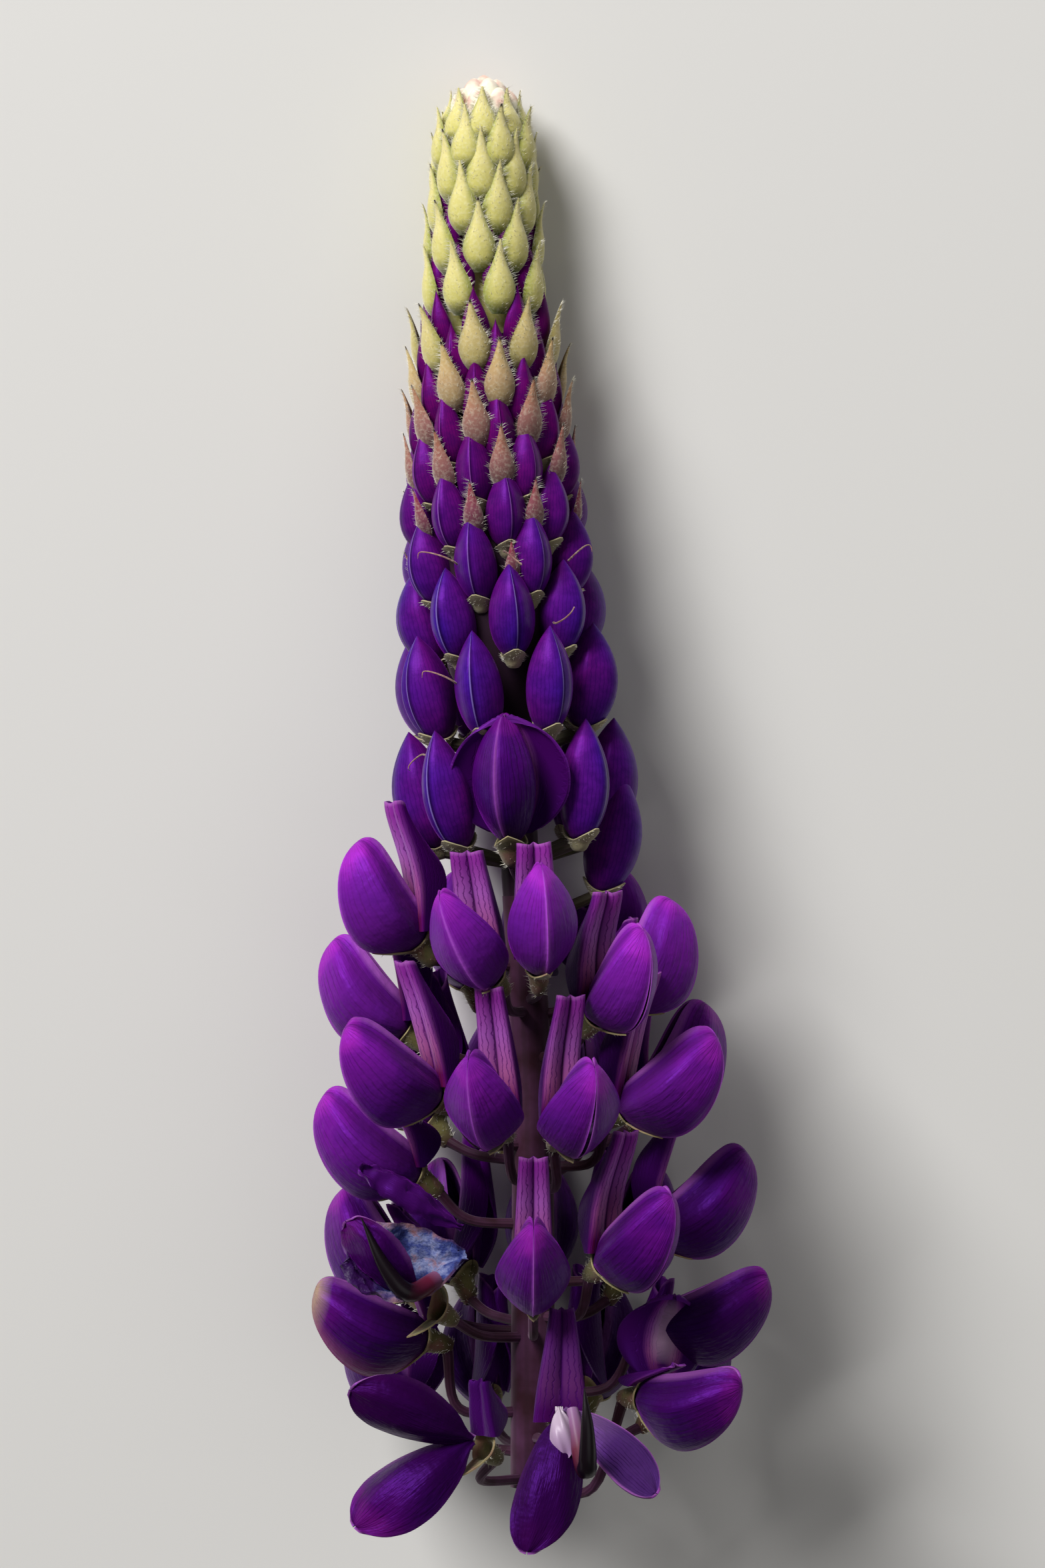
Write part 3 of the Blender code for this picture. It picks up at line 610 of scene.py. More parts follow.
def wingPart(size, side, parted, draw, pale=0.0, faded=0.0, dusk=0.0):
    # one wing: half of an egg, cut from the seam in front round to the open back. A cross line is
    # half an ellipse drawn to an edge at the seam, with a raised lip there and a crease near the
    # back edge; the tip is blunt and drawn back, so that the side of the pouch is a letter D
    v = np.linspace(0.03, 0.997, wingForm["rows"])[:, None]
    s = np.linspace(0.0, 1.0, wingForm["cols"])[None, :] ** 1.15
    up = (1.0 - np.cos(np.pi * v)) / 2.0
    deep, wide = (wingForm["scale"] * radius for radius in pouchRadii(up, size))
    angle = np.radians(wingForm["wrap"]) * s
    edge = 1.0 - wingForm["keel"] * np.abs(np.cos(angle))
    wave = (1.0 + 0.018 * np.sin(3.1 * angle + 5.0 * v + draw.uniform(0, 6))
            + 0.014 * np.sin(9.0 * v + draw.uniform(0, 6)))
    creased = smoothStep(v, 0.12, 0.4) * (1.0 - smoothStep(v, 0.8, 0.98))
    crease = wingForm["crease"] * bell(angle, 2.15, 0.24) * creased
    lip = wingForm["ridge"] * bell(angle, 0.0, 0.05) * hump(v)
    hollow = wingForm["hollow"] * bell(up, 0.34, 0.24) * np.clip(-np.cos(angle), 0.0, 1.0)
    oblique = wingForm["oblique"] * (1.0 + np.cos(angle)) / 2.0 * hump(up) * up
    gap = parted[0] + parted[1] * bell(v, 0.55, 0.25)
    x = ((deep * wave - crease + lip - hollow) * np.cos(angle) + wingForm["belly"] * hump(up)
         - wingForm["drawnBack"] * up**3)
    y = (wide * wave - crease) * np.sin(angle) * edge + gap / 2.0
    z = (size[0] * up - oblique) * wingForm["scale"]
    points, uv = together(x, y, z), together(s, v)
    thickness = wingForm["thickness"] * (0.3 + 0.7 * smoothStep(s, 0.0, 0.16)) * np.ones_like(v)
    if side < 0:  # the other wing is its mirror, with the columns turned round to face outwards
        points, uv, thickness = points[:, ::-1] * [1, -1, 1], uv[:, ::-1], thickness[:, ::-1]
    # dusk darkens the wing, partly its own darker colour and partly painted shade; pale lifts it, partly its own paler
    # colour and partly a painted highlight
    return shell(points, uv, thickness, "wingPetal", paleness=pale, faded=faded, deepness=dusk)


bannerForm = {"rows": 26, "cols": 45, "thickness": 0.3, "fold": 4.2, "tube": 0.75, "face": 0.4}


def bannerPart(height, draw, deepness, halfWidth, foot=(0.0, 0.0), lean=3.4, narrowing=0.38):
    # the banner: two rounded pleats side by side with a seam between them, then both sides turn
    # back; towards the top they roll up behind. Each side is a walk whose heading turns steadily
    t = np.linspace(0.0, 1.0, bannerForm["rows"])[:, None]
    a = np.linspace(0.0, 1.0, (bannerForm["cols"] + 1) // 2)[None, :]
    m = np.clip(a / bannerForm["face"], 0.0, 1.0)
    n = np.clip((a - bannerForm["face"]) / (1.0 - bannerForm["face"]), 0.0, 1.0)
    length = bannerForm["fold"] * np.sin(np.pi * (0.05 + 0.7 * t)) * (1.0 - 0.22 * t**4)
    heading = np.radians(15.0 + 110.0 * t**3) * n
    step = np.diff(n, axis=1, prepend=0.0) * length
    x = bannerForm["tube"] * hump(m) ** 0.7 * (0.5 + 0.5 * t) - np.cumsum(np.cos(heading) * step, axis=1)
    x = x + foot[0] * (1.0 - t) + lean * t**2 - 0.5 * t**12 + 0.12 * np.sin(7.0 * t + draw.uniform(0, 6))
    y = halfWidth * (1.25 - narrowing * t) * np.sin(m * np.pi / 2.0) - np.cumsum(np.sin(heading) * step, axis=1)
    low = 1.4 + foot[1]
    z = low + (height - low) * (t - 0.14 * t * n**1.5 - 0.03 * t**6 * (1.0 - m) ** 2)
    right = together(x, y, z + 0.45 * bell(a, 0.0, 0.03) * t**30)
    points = np.concatenate([right[:, :0:-1] * [1.0, -1.0, 1.0], right], 1)
    uv = together(np.linspace(0.0, 1.0, bannerForm["cols"])[None, :], t)
    return shell(points, uv, bannerForm["thickness"], "bannerPetal", deepness=deepness)


def wideBannerPart(height, halfWidth, wrap, deepness, streaked=0.0):
    # a banner that has only begun to open: a round cupped sheet behind the wings, whose sides
    # come forward as a power of their distance from the middle
    t = np.sin(np.linspace(0.0, np.pi / 2.0, 30))[:, None]
    c = np.linspace(-1.0, 1.0, 37)[None, :]
    wide = halfWidth * curveThrough(t, [0, 0.1, 0.25, 0.5, 0.72, 0.88, 0.96, 0.99, 1.0],
                                    [0.3, 0.62, 0.9, 1.05, 0.94, 0.66, 0.38, 0.19, 0.04])
    x = (-0.9 + wrap * np.abs(c) ** 1.6 * hump(t) - 1.3 * hump(t)
         + 0.35 * bell(c, 0.0, 0.12) * t)
    y = wide * np.sin(c * 1.45) / math.sin(1.45)
    z = 0.9 + (height - 0.9) * (t - 0.07 * t * np.abs(c) ** 1.7)
    uv = together(0.5 + 0.06 * c + 0.3 * np.sign(c) * smoothStep(np.abs(c), 0.1, 0.5), t)
    return shell(together(x, y, z), uv, bannerForm["thickness"], "bannerPetal", deepness=deepness, streaked=streaked)


def podPart(size, cols, rows, surface, egg=0.0, belly=0.0, keel=0.0, point=0.0, seam=0.0, taper=3.0, **marks):
    # a closed pod: rings of an ellipse whose radius follows a half circle along its length, drawn
    # in towards the tip by one less a power of the height
    length, depth, width = size
    v = np.linspace(0.0, 1.0, rows + 2)[1:-1, None]
    turn = np.linspace(-np.pi, np.pi, cols, endpoint=False)[None, :]
    up = (1.0 - np.cos(np.pi * v)) / 2.0
    ring = hump(v) * (1.0 + egg * (2.0 * up - 1.0)) * (1.0 - up**taper) ** point
    lip = seam * bell(turn, -0.07, 0.1) - 1.2 * seam * bell(turn, 0.16, 0.1)
    x = (depth / 2.0 * ring + lip * hump(v)) * np.cos(turn) + belly * hump(up)
    y = width / 2.0 * ring * np.sin(turn) * (1.0 - keel * np.abs(np.cos(turn)))
    return closedPod(together(x, y, length * up), [(0.0, 0.0, 0.0), (0.0, 0.0, length)], surface, **marks)


bladeForm = {"rows": 30, "cols": 23, "thickness": 0.3}


def bladePart(length, width, cup, draw, surface="wingPetal", twist=0.0, frill=0.0, roll=0.0, skew=0.0, deep=0.5,
              turnedOver=False):
    # a wing by itself: an oval blade on a narrow claw, cupped across by one less the square of the
    # distance from its middle, and turned along its length; the rows draw together towards the
    # tip, where the outline is a quarter of an ellipse
    v = np.sin(np.linspace(0.0, np.pi / 2.0, bladeForm["rows"]))[:, None]
    c = np.linspace(-1.0, 1.0, bladeForm["cols"])[None, :]
    wide = width / 2.0 * curveThrough(v, [0, 0.06, 0.16, 0.35, 0.6, 0.8, 0.92, 0.97, 0.99, 0.998, 1.0],
                                      [0.12, 0.2, 0.5, 0.82, 1.0, 0.9, 0.63, 0.4, 0.24, 0.11, 0.02])
    y = wide * c + skew * v**3
    x = cup * (1.0 - c**2) * hump(v) + frill * np.sin(11.0 * v + draw.uniform(0, 6)) * c**2
    x = x + 0.12 * np.sin(6.0 * c + 8.0 * v) + roll * smoothStep(c, 0.55, 1.0) * hump(v)
    turn = np.radians(twist) * v
    points = together(x * np.cos(turn) - y * np.sin(turn), x * np.sin(turn) + y * np.cos(turn), length * v)
    # deep darkens the blade, partly its own darker colour and partly painted shade
    made = shell(points, together(0.45 * c + 0.5, v), bladeForm["thickness"], surface, deepness=deep)
    if turnedOver:
        made["marks"]["inside"] = 1.0 - made["marks"]["inside"]
    return made


calyxForm = {"rows": 16, "cols": 40, "length": 3.0, "foot": 0.7, "mouth": 1.5, "frontLip": 2.7, "backLip": 1.3,
             "thickness": 0.18}
calyxHairs = {"count": 70, "lengths": (0.35, 0.8), "radius": 0.035, "lift": 0.9}


def calyxPart(size, frontLip, backLip, radii=pouchRadii, mouth=calyxForm["mouth"], length=calyxForm["length"],
              belly=1.1, keel=0.3, lipSpread=0.62, away=0.5, fineness=1.0, youth=0.0):
    # the calyx: a cup round the foot of the petals, whose rim rises to a pointed lip in front, in
    # proportion to the turn, and to a bell-shaped one behind; its radius is the root of the sum of
    # the squares of the cup's and the petals', so above the cup it lies a little outside the petals
    h = np.linspace(0.0, 1.0, round(calyxForm["rows"] * fineness))[:, None]
    turn = np.linspace(-np.pi, np.pi, round(calyxForm["cols"] * fineness) + 1)[None, :]
    turn = turn - 0.04 * np.sign(turn) * (np.abs(turn) > 3.1)
    lipTop = (0.2 + frontLip * np.clip(1.0 - np.abs(turn) / lipSpread, 0.0, 1.0) ** 1.1
              + backLip * bell(np.abs(turn), np.pi, 0.8))
    z = -length + (lipTop + length) * h
    up = np.clip(z / size[0], 0.0, 1.0)
    deep, wide = radii(up, size)
    cup = calyxForm["foot"] + (mouth - calyxForm["foot"]) * np.clip((z + length) / length, 0.0, 1.0) ** 0.6
    standing = away * np.clip(z / frontLip, 0.0, 1.0) ** 2 * (np.cos(turn) > 0.5)  # the point stands off
    x = np.sqrt(cup**2 + deep**2) * np.cos(turn) + belly * hump(up) + standing
    y = np.sqrt((0.9 * cup) ** 2 + wide**2) * np.sin(turn) * (1.0 - keel * np.abs(np.cos(turn)) * up * 2.0)
    points, uv = together(x, y, z), together((turn / np.pi + 1.0) / 2.0, h)
    return shell(points, uv, calyxForm["thickness"], "calyxFelt", youth=youth), points


def hairsOn(points, draw, count, lengths, radius, lift, rowsFrom=0, upward=0.8):
    # hairs at random places of a grid, each root between four points in proportion to its distance
    # from them, leaning from the normal towards the tip
    rows, cols = points.shape[:2]
    r = np.array([draw.uniform(rowsFrom, rows - 1.001) for _ in range(count)])
    c = np.array([draw.uniform(0, cols - 1.001) for _ in range(count)])
    low, left = r.astype(int), c.astype(int)
    fr, fc = (r - low)[:, None], (c - left)[:, None]
    root = ((1 - fr) * (1 - fc) * points[low, left] + (1 - fr) * fc * points[low, left + 1]
            + fr * (1 - fc) * points[low + 1, left] + fr * fc * points[low + 1, left + 1])
    ahead = unit(points[np.minimum(low + 1, rows - 1), left] - points[low, left])
    noise = np.array([[draw.gauss(0, 0.25) for _ in range(3)] for _ in range(count)])
    size = np.array([draw.uniform(*lengths) for _ in range(count)])
    return hairPart(root, gridNormals(points)[low, left] * lift + ahead * upward + noise, size, radius)


def addCalyx(bits, place, hairs, *form, **ways):
    # a calyx and its hairs at a place
    calyx, surface = calyxPart(*form, **ways)
    bits += [placed(calyx, place), placed(hairsOn(surface, draw, **hairs), place)]


stalkForm = {"drop": 4.0, "rise": 0.6, "root": 1.2, "halfWay": 0.55, "end": 0.7 - calyxForm["length"]}


def flowerStalk(height, azimuth, radius, place, width, swell):
    # a smooth curve from inside the stem, out past a point half way, to the foot of the calyx; it
    # swells at both ends by the fourth power of the distance from its middle
    low = height - stalkForm["drop"]
    root = seat(low, azimuth, stalkForm["root"])[:3, 3]
    middle = seat(low + stalkForm["rise"], azimuth, radius * stalkForm["halfWay"])[:3, 3]
    end = (place @ (0.0, 0.0, stalkForm["end"], 1.0))[:3]
    widths = width * (1.0 + swell * np.linspace(-1.0, 1.0, 15) ** 4)
    return tubePart(pathThrough([root, middle, end], 15), widths, 12, "stemSkin", greenness=0.0)


def budStalk(height, azimuth, radius, place, width, greenness):
    # a straight stalk of one width from inside the stem to the bud's foot
    path = pathThrough([seat(height, azimuth, radius)[:3, 3], place[:3, 3]], 8)
    return tubePart(path, np.full(8, width), 10, "stemSkin", greenness=greenness)


# each whorl: its height, how far out its flowers stand, how much the floor presses them, the
# length, depth and width of their wings, the height of their banner, the tilt of the wings in
# front, half the banner's width, three shares of its colours (the pale lift of the wings, partly
# their own colour and partly a painted highlight; the darkening of the banner, and that of the wings,
# each partly their own colour and partly painted shade), and the azimuth and rise of each flower
openWhorls = [dict(zip(("height", "radius", "pressed", "wings", "banner", "tilt", "halfWidth", "pale", "dark", "dusk",
                        "flowers"), row)) for row in (
    (8.0, 16.5, 0.7, (16.2, 9.4, 9.0), 16.0, 76.0, 2.0, 0.0, 0.48, 0.6,
     ((11.0, 2.0), (52.0, -4.0), (80.0, 7.5), (116.0, 0.0), (153.0, 1.0), (201.0, 0.0), (240.0, 0.0), (281.0, 5.0),
      (317.0, -3.0))),
    (23.5, 14.8, 1.05, (16.6, 9.6, 9.2), 18.0, 61.0, 2.0, 0.04, 0.12, 0.36,
     ((0.0, -1.0), (41.0, 1.0), (88.0, 5.0), (132.0, 0.0), (176.0, 0.0), (219.0, 0.0), (256.0, -1.0), (311.0, -1.5))),
    (41.0, 14.2, 1.25, (16.6, 9.6, 9.4), 18.5, 61.0, 2.0, 0.1, 0.0, 0.14,
     ((-18.0, 0.0), (20.0, -1.0), (64.0, 1.5), (108.0, 3.0), (153.0, 0.0), (197.0, 0.0), (240.0, 2.0), (274.0, -5.5),
      (302.0, 4.0))),
    (59.5, 12.4, 1.6, (15.6, 9.2, 8.6), 16.5, 50.0, 2.35, 0.16, 0.0, 0.0,
     ((-20.0, 1.5), (9.0, 3.0), (39.0, -4.0), (84.0, 1.0), (130.0, 0.0), (174.0, 0.0), (218.0, 0.0), (264.0, -5.0),
      (292.0, 7.0))),
)]
# what sets a flower apart: how far it has moved, tilt and roll of its wings, how much shorter its
# banner is, how far its seam has parted, and whether it fades
ownWays = {
    (1, 2): {"moved": (1.2, 0.0, 1.8), "tilt": 88.0, "banner": 0.6},
    (1, 8): {"moved": (2.0, 0.0, 1.2), "faded": 1.0}, (1, 9): {"moved": (5.5, 0.0, 0.8)},
    (2, 2): {"moved": (-1.0, 0.0, 0.8), "parted": 0.2}, (2, 5): {"banner": 0.6}, (2, 7): {"banner": 0.6},
    (3, 1): {"moved": (0.4, 0.0, 0.9)}, (3, 2): {"moved": (-1.4, 0.0, 0.8), "parted": 0.45},
    (3, 3): {"moved": (-1.2, 0.0, 0.5)}, (3, 5): {"banner": 0.6}, (3, 6): {"banner": 0.6}, (3, 8): {"banner": 0.6},
    (4, 1): {"moved": (-1.0, 0.0, 0.0), "tilt": 48.0, "roll": 16.0, "banner": 0.94},
    (4, 2): {"moved": (-0.8, 0.0, 0.6), "tilt": 32.0, "banner": 0.85}, (4, 3): {"banner": 0.94, "parted": 0.25},
    (4, 4): {"moved": (-2.6, 0.0, -3.2), "tilt": 36.0, "banner": 0.6}, (4, 5): {"banner": 0.6},
    (4, 6): {"banner": 0.6}, (4, 7): {"banner": 0.6}, (4, 8): {"moved": (-2.0, 0.0, 0.0)}, (4, 9): {"tilt": 37.0},
}


def wingPlace(whorl, own, azimuth):
    # the pouch turns about its own middle, which stays where the solid has it; those in front tilt
    # further, by the smooth step of the cosine
    more = (whorl["tilt"] - spike["wingTilt"]) * float(smoothStep(math.cos(math.radians(azimuth)), -0.3, 0.3))
    middle = turned("y", spike["wingTilt"])[:3, 2] * (wingForm["middle"] + spike["gap"])
    return (moved(*middle) @ turned("x", own.get("roll", 0.0)) @ turned("y", own.get("tilt", spike["wingTilt"] + more))
            @ moved(0.0, 0.0, -wingForm["middle"]))


def openFlower(whorl, own, azimuth, tilt, sideBanner, draw):
    # two wings round a small keel before a banner; in front the pouch is shorter and slimmer
    foot = tilt[:3, 3]
    front = float(smoothStep(math.cos(math.radians(azimuth)), 0.6, 0.95))
    length, depth, width = whorl["wings"]
    size = (length * (0.94 - 0.04 * front), depth * (1.08 - 0.18 * front), width)
    # the pale lift is partly the flower's own paler colour and partly a painted highlight
    pale = whorl["pale"] + draw.uniform(0.0, 0.06)
    keel = podPart((size[0] * 0.82, size[1] * 0.5, size[2] * 0.36), 12, 10, "keelPetal", belly=0.9, point=0.4)
    keel["uv"] = [uv * [1.0, 0.6] + [0.0, 0.4] for uv in keel["uv"]]
    banner = sideBanner or placed(bannerPart(whorl["banner"] * own.get("banner", 1.0), draw, whorl["dark"],
                                             whorl["halfWidth"], (foot[0], foot[2])), clearOfCalyx)
    wings = [placed(wingPart(size, side, (0.06, own.get("parted", 0.0)), draw, pale, own.get("faded", 0.0),
                             whorl["dusk"]), tilt) for side in (1, -1)]
    return [*wings, placed(keel, tilt @ moved(0.0, 0.0, 0.6)), banner]


def hornPart(path, radii, reach):
    # the keel by itself: a tube that sweeps out and then up to a point, with the last of its
    # colours drawn out over the given share of it
    share, knots = np.linspace(0.0, 1.0, 18), np.linspace(0.0, 1.0, len(path))
    horn = tubePart(pathThrough(path, 18), curveThrough(share, knots, radii), 14, "keelPetal")
    horn["uv"] = [uv * [1.0, reach[0]] + [0.0, reach[1]] for uv in horn["uv"]]
    return horn


def splitFlower(draw):
    # the lowest flower in front: its wings hang apart and show the white throat and the dark keel
    throat = bladePart(6.4, 2.9, 1.1, draw, "keelPetal", twist=10.0)
    throat["uv"] = [uv * [1.0, 0.3] for uv in throat["uv"]]
    horn = hornPart([(0.6, 0.9, 0.0), (4.2, 1.3, -5.2), (6.4, 1.5, -6.2), (7.8, 1.2, -1.2), (7.6, 0.9, 3.2)],
                    [0.7, 1.1, 1.15, 0.75, 0.06], (0.62, 0.3))
    return [
        placed(bannerPart(12.8, draw, 0.8, 2.7, foot=(0.6, -2.0), lean=1.0, narrowing=0.72), clearOfCalyx),
        placed(throat, frontOfThroat @ moved(0.8, -0.7, 0.4) @ aimed((0.34, 0.02, -0.9), 6.0)),
        placed(horn, frontOfThroat),
        placed(bladePart(17.4, 7.6, 1.8, draw, skew=1.9, deep=0.95), frontOfThroat @ aimed((0.30, -0.20, -0.93), 12.0)),
        placed(bladePart(14.6, 6.4, 1.2, draw, roll=1.5, skew=1.0, turnedOver=True),
               frontOfThroat @ aimed((0.36, 0.74, -0.62), -20.0)),
    ]


def splayedFlower(draw):
    # the flower beside it: both wings lie open to one side
    return [
        placed(bannerPart(8.0, draw, 1.0, 1.6, lean=1.0), clearOfCalyx),
        placed(bladePart(15.8, 7.4, 2.0, draw, roll=-0.9, skew=-0.8, deep=0.95),
               frontOfThroat @ aimed((0.62, -0.40, 0.36), 10.0)),
        placed(bladePart(17.0, 8.8, 2.2, draw, roll=-0.6, skew=0.8, deep=0.75),
               frontOfThroat @ aimed((0.55, -0.40, -0.52), -10.0)),
    ]


def crumpled(bit, draw, size):
    # a dried petal: the sum of three sine waves, from a few millimetres long to one, with a random
    # direction and start for each axis, pushes its points about
    points = bit["points"]
    shift = np.zeros_like(points)
    for scale, share in ((0.8, 0.5), (1.7, 0.3), (3.3, 0.2)):
        for axis in range(3):
            along = np.array([draw.gauss(0, 1) for _ in range(3)])
            shift[:, axis] += share * np.sin(points @ along * scale + draw.uniform(0, 6))
    return {**bit, "points": points + size * shift}


def witheredFlower(draw):
    # one wing has dried to an open cup behind the bare keel, the other still stands at its left, and
    # the banner hangs as a dark strip; this flower's places are given on the spike itself
    horn = hornPart([(-11.4, -12.6, 26.0), (-14.6, -15.4, 24.6), (-17.4, -16.0, 27.6), (-20.2, -15.6, 33.4)],
                    [1.0, 1.15, 0.85, 0.06], (0.6, 0.36))
    strip = bladePart(14.0, 4.2, 1.3, draw, "bannerPetal", twist=30.0, frill=0.3, deep=1.0)
    return [
        placed(crumpled(bladePart(14.6, 10.4, 4.2, draw, "witheredPetal", frill=0.4), draw, 0.6),
               facing((-7.6, -10.6, 28.6), (-1.0, -0.24, -0.06), (0.1, 0.84, -0.55))),
        placed(crumpled(bladePart(12.5, 7.4, 2.2, draw, deep=0.8), draw, 0.3),
               facing((-13.6, -12.4, 23.6), (-0.66, -0.12, 0.74), (-0.5, -0.8, -0.2))),
        placed(crumpled(strip, draw, 0.4), facing((-8.6, -9.6, 31.6), (-0.84, -0.12, 0.54), (0.2, -0.9, 0.3))),
        horn,
    ]


draw = random.Random(11)
split, splayed, withered, turnedToFront = (1, 1), (1, 9), (2, 8), (1, 3)
petalSurfaces = ["wingPetal", "bannerPetal", "keelPetal", "witheredPetal"]
calyxBits, stalkBits = [], []
for number, whorl in enumerate(openWhorls, 1):
    for member, (azimuth, rise) in enumerate(whorl["flowers"], 1):
        key = (number, member)
        own = ownWays.get(key, {})
        height, radius = whorl["height"] + rise, whorl["radius"]
        place = moved(*own.get("moved", (0.0, 0.0, 0.0))) @ flowerSeat(height, azimuth, radius, whorl["pressed"])
        tilt = wingPlace(whorl, own, azimuth)
        sideBanner = None
        if key == turnedToFront:  # its young banner is turned to the front
            sideBanner = placed(wideBannerPart(11.6, 5.2, -2.0, 0.45, 0.6),
                                np.linalg.inv(place) @ facing((15.4, -7.6, 12.2), (0.14, 0.05, 1.0), (0.25, -1.0, 0.1)))
        if key == withered:
            bits = witheredFlower(draw)
        else:
            bits = (splitFlower(draw) if key == split else splayedFlower(draw) if key == splayed
                    else openFlower(whorl, own, azimuth, tilt, sideBanner, draw))
            bits = [placed(bit, place) for bit in bits]
        makePiece("petals_%d_%d" % key, bits, petalSurfaces, ["flower_%d_%d" % key])
        calyxPlace = place @ (turned("y", 60.0) if key in (split, splayed, withered) else tilt)
        lip = 2.0 if key in (split, splayed) else calyxForm["frontLip"] * draw.uniform(0.85, 1.1)
        addCalyx(calyxBits, calyxPlace, calyxHairs, whorl["wings"], lip, calyxForm["backLip"])
        stalkBits.append(flowerStalk(height, azimuth, radius, calyxPlace, 0.6, 0.25))
print("open flowers made")


halfOpen = {"height": 77.0, "azimuth": -5.0, "radius": 9.8, "tilt": 11.0, "wings": (15.6, 7.4, 8.0)}
place = seat(halfOpen["height"], halfOpen["azimuth"], halfOpen["radius"], halfOpen["tilt"])
raised = place @ moved(0.0, 0.0, spike["gap"])
# its wings are darkened, partly in their own colour and partly as painted shade
halfOpenBits = [placed(wingPart(halfOpen["wings"], side, (0.08, 0.0), draw, dusk=0.35), raised @ turned("z", -12.0))
                for side in (1, -1)]
halfOpenBits.append(placed(wideBannerPart(15.4, 6.6, 2.2, 0.3), raised @ moved(0.0, 0.5, 0.0)))
makePiece("petals_half_open", halfOpenBits, petalSurfaces, ["flower_half_open"])
addCalyx(calyxBits, place, calyxHairs, halfOpen["wings"], 1.7, 1.6, mouth=2.0, length=2.4, lipSpread=1.2, away=0.0)
stalkBits.append(flowerStalk(halfOpen["height"], halfOpen["azimuth"], halfOpen["radius"], place, 0.62, 0.0))

# height, radius, the length, depth and width of a bud, and how much wider the finer one is
budWhorls = (
    (77.0, 9.8, (13.6, 6.8, 5.8), 1.12), (90.0, 9.2, (12.0, 6.6, 5.5), 1.14), (99.2, 8.2, (10.6, 6.2, 5.3), 1.12),
    (106.0, 7.8, (9.8, 5.9, 5.1), 1.08), (112.2, 7.5, (9.0, 5.6, 4.9), 1.08), (117.6, 7.2, (8.6, 5.2, 4.7), 1.08),
    (122.2, 6.8, (8.4, 4.6, 4.4), 1.08), (126.6, 6.4, (7.8, 4.1, 4.1), 1.1), (131.0, 6.0, (7.4, 3.6, 3.8), 1.12),
    (135.6, 5.5, (7.0, 3.2, 3.4), 1.14),
)
# height, radius and tilt of the whorls that show only their bracts, and the size of a bract
tipWhorls = ((140.2, 5.8, 4.0, 1.0), (145.2, 5.5, 4.0, 1.0), (149.7, 5.1, 3.0, 1.0), (153.6, 4.9, 1.0, 1.0),
             (157.4, 5.0, -3.0, 0.88), (160.6, 4.5, -14.0, 0.76))
headForm = {"budTilt": 11.0, "perWhorl": 8, "firstBud": 3.0, "drift": 1.2, "stalked": 2,
            "core": ((70.0, 2.3), (82.0, 2.6), (91.0, 3.8), (100.0, 7.3), (114.0, 7.6), (124.0, 6.7), (132.0, 5.7),
                     (138.05, 4.6)),
            "tipCore": ((136.0, 4.6), (144.0, 4.4), (152.0, 3.7), (160.0, 3.2), (164.0, 2.4), (166.6, 0.8))}
bractForm = {"length": 8.9, "width": 4.05, "bulge": 1.45, "rows": 22, "cols": 15, "thickness": 0.4, "hairs": 230,
             "hairRadius": 0.025, "flat": (0.3, 0.65), "fringe": (0.4, 1.0)}
# the bracts among the buds, by whorl: width, age, length and how far down
oldBracts = {4: (0.46, 1.0, 0.56, -1.6), 5: (0.62, 0.95, 0.74, -1.3), 6: (0.76, 0.84, 0.88, -0.6),
             7: (0.86, 0.66, 0.95, 0.0), 8: (0.94, 0.42, 0.98, 0.0), 9: (1.0, 0.2, 1.0, 0.0)}


def whorlAzimuth(whorl, member):
    # equal steps round the stem, half a step further on every second whorl, with a slow drift
    step = 360.0 / headForm["perWhorl"]
    return headForm["firstBud"] + headForm["drift"] * whorl + step * (member + 0.5 * (whorl % 2))


def bractPoints(length, width, bulge, curl):
    # a bract: a drop-shaped scale, arched outwards across as a cosine, that runs out in a thin tail
    # turned away by the cube of its length
    v = np.linspace(0.0, 1.0, bractForm["rows"])[:, None]
    c = np.linspace(-1.0, 1.0, bractForm["cols"])[None, :]
    wide = width / 2.0 * curveThrough(v, [0, 0.08, 0.18, 0.3, 0.4, 0.5, 0.6, 0.7, 0.8, 0.9, 1.0],
                                      [0.4, 0.68, 0.9, 1.0, 0.95, 0.81, 0.61, 0.43, 0.28, 0.16, 0.05])
    arch = bulge * curveThrough(v, [0, 0.1, 0.3, 0.5, 0.7, 1.0], [0.35, 0.8, 1.0, 0.82, 0.42, 0.06])
    x = arch * np.cos(c * 1.5) + curl * v**3 + 0.2 * hump(v)
    return together(x, wide * np.sin(c * 1.45) / math.sin(1.45), length * v), together((c + 1.0) / 2.0, v)


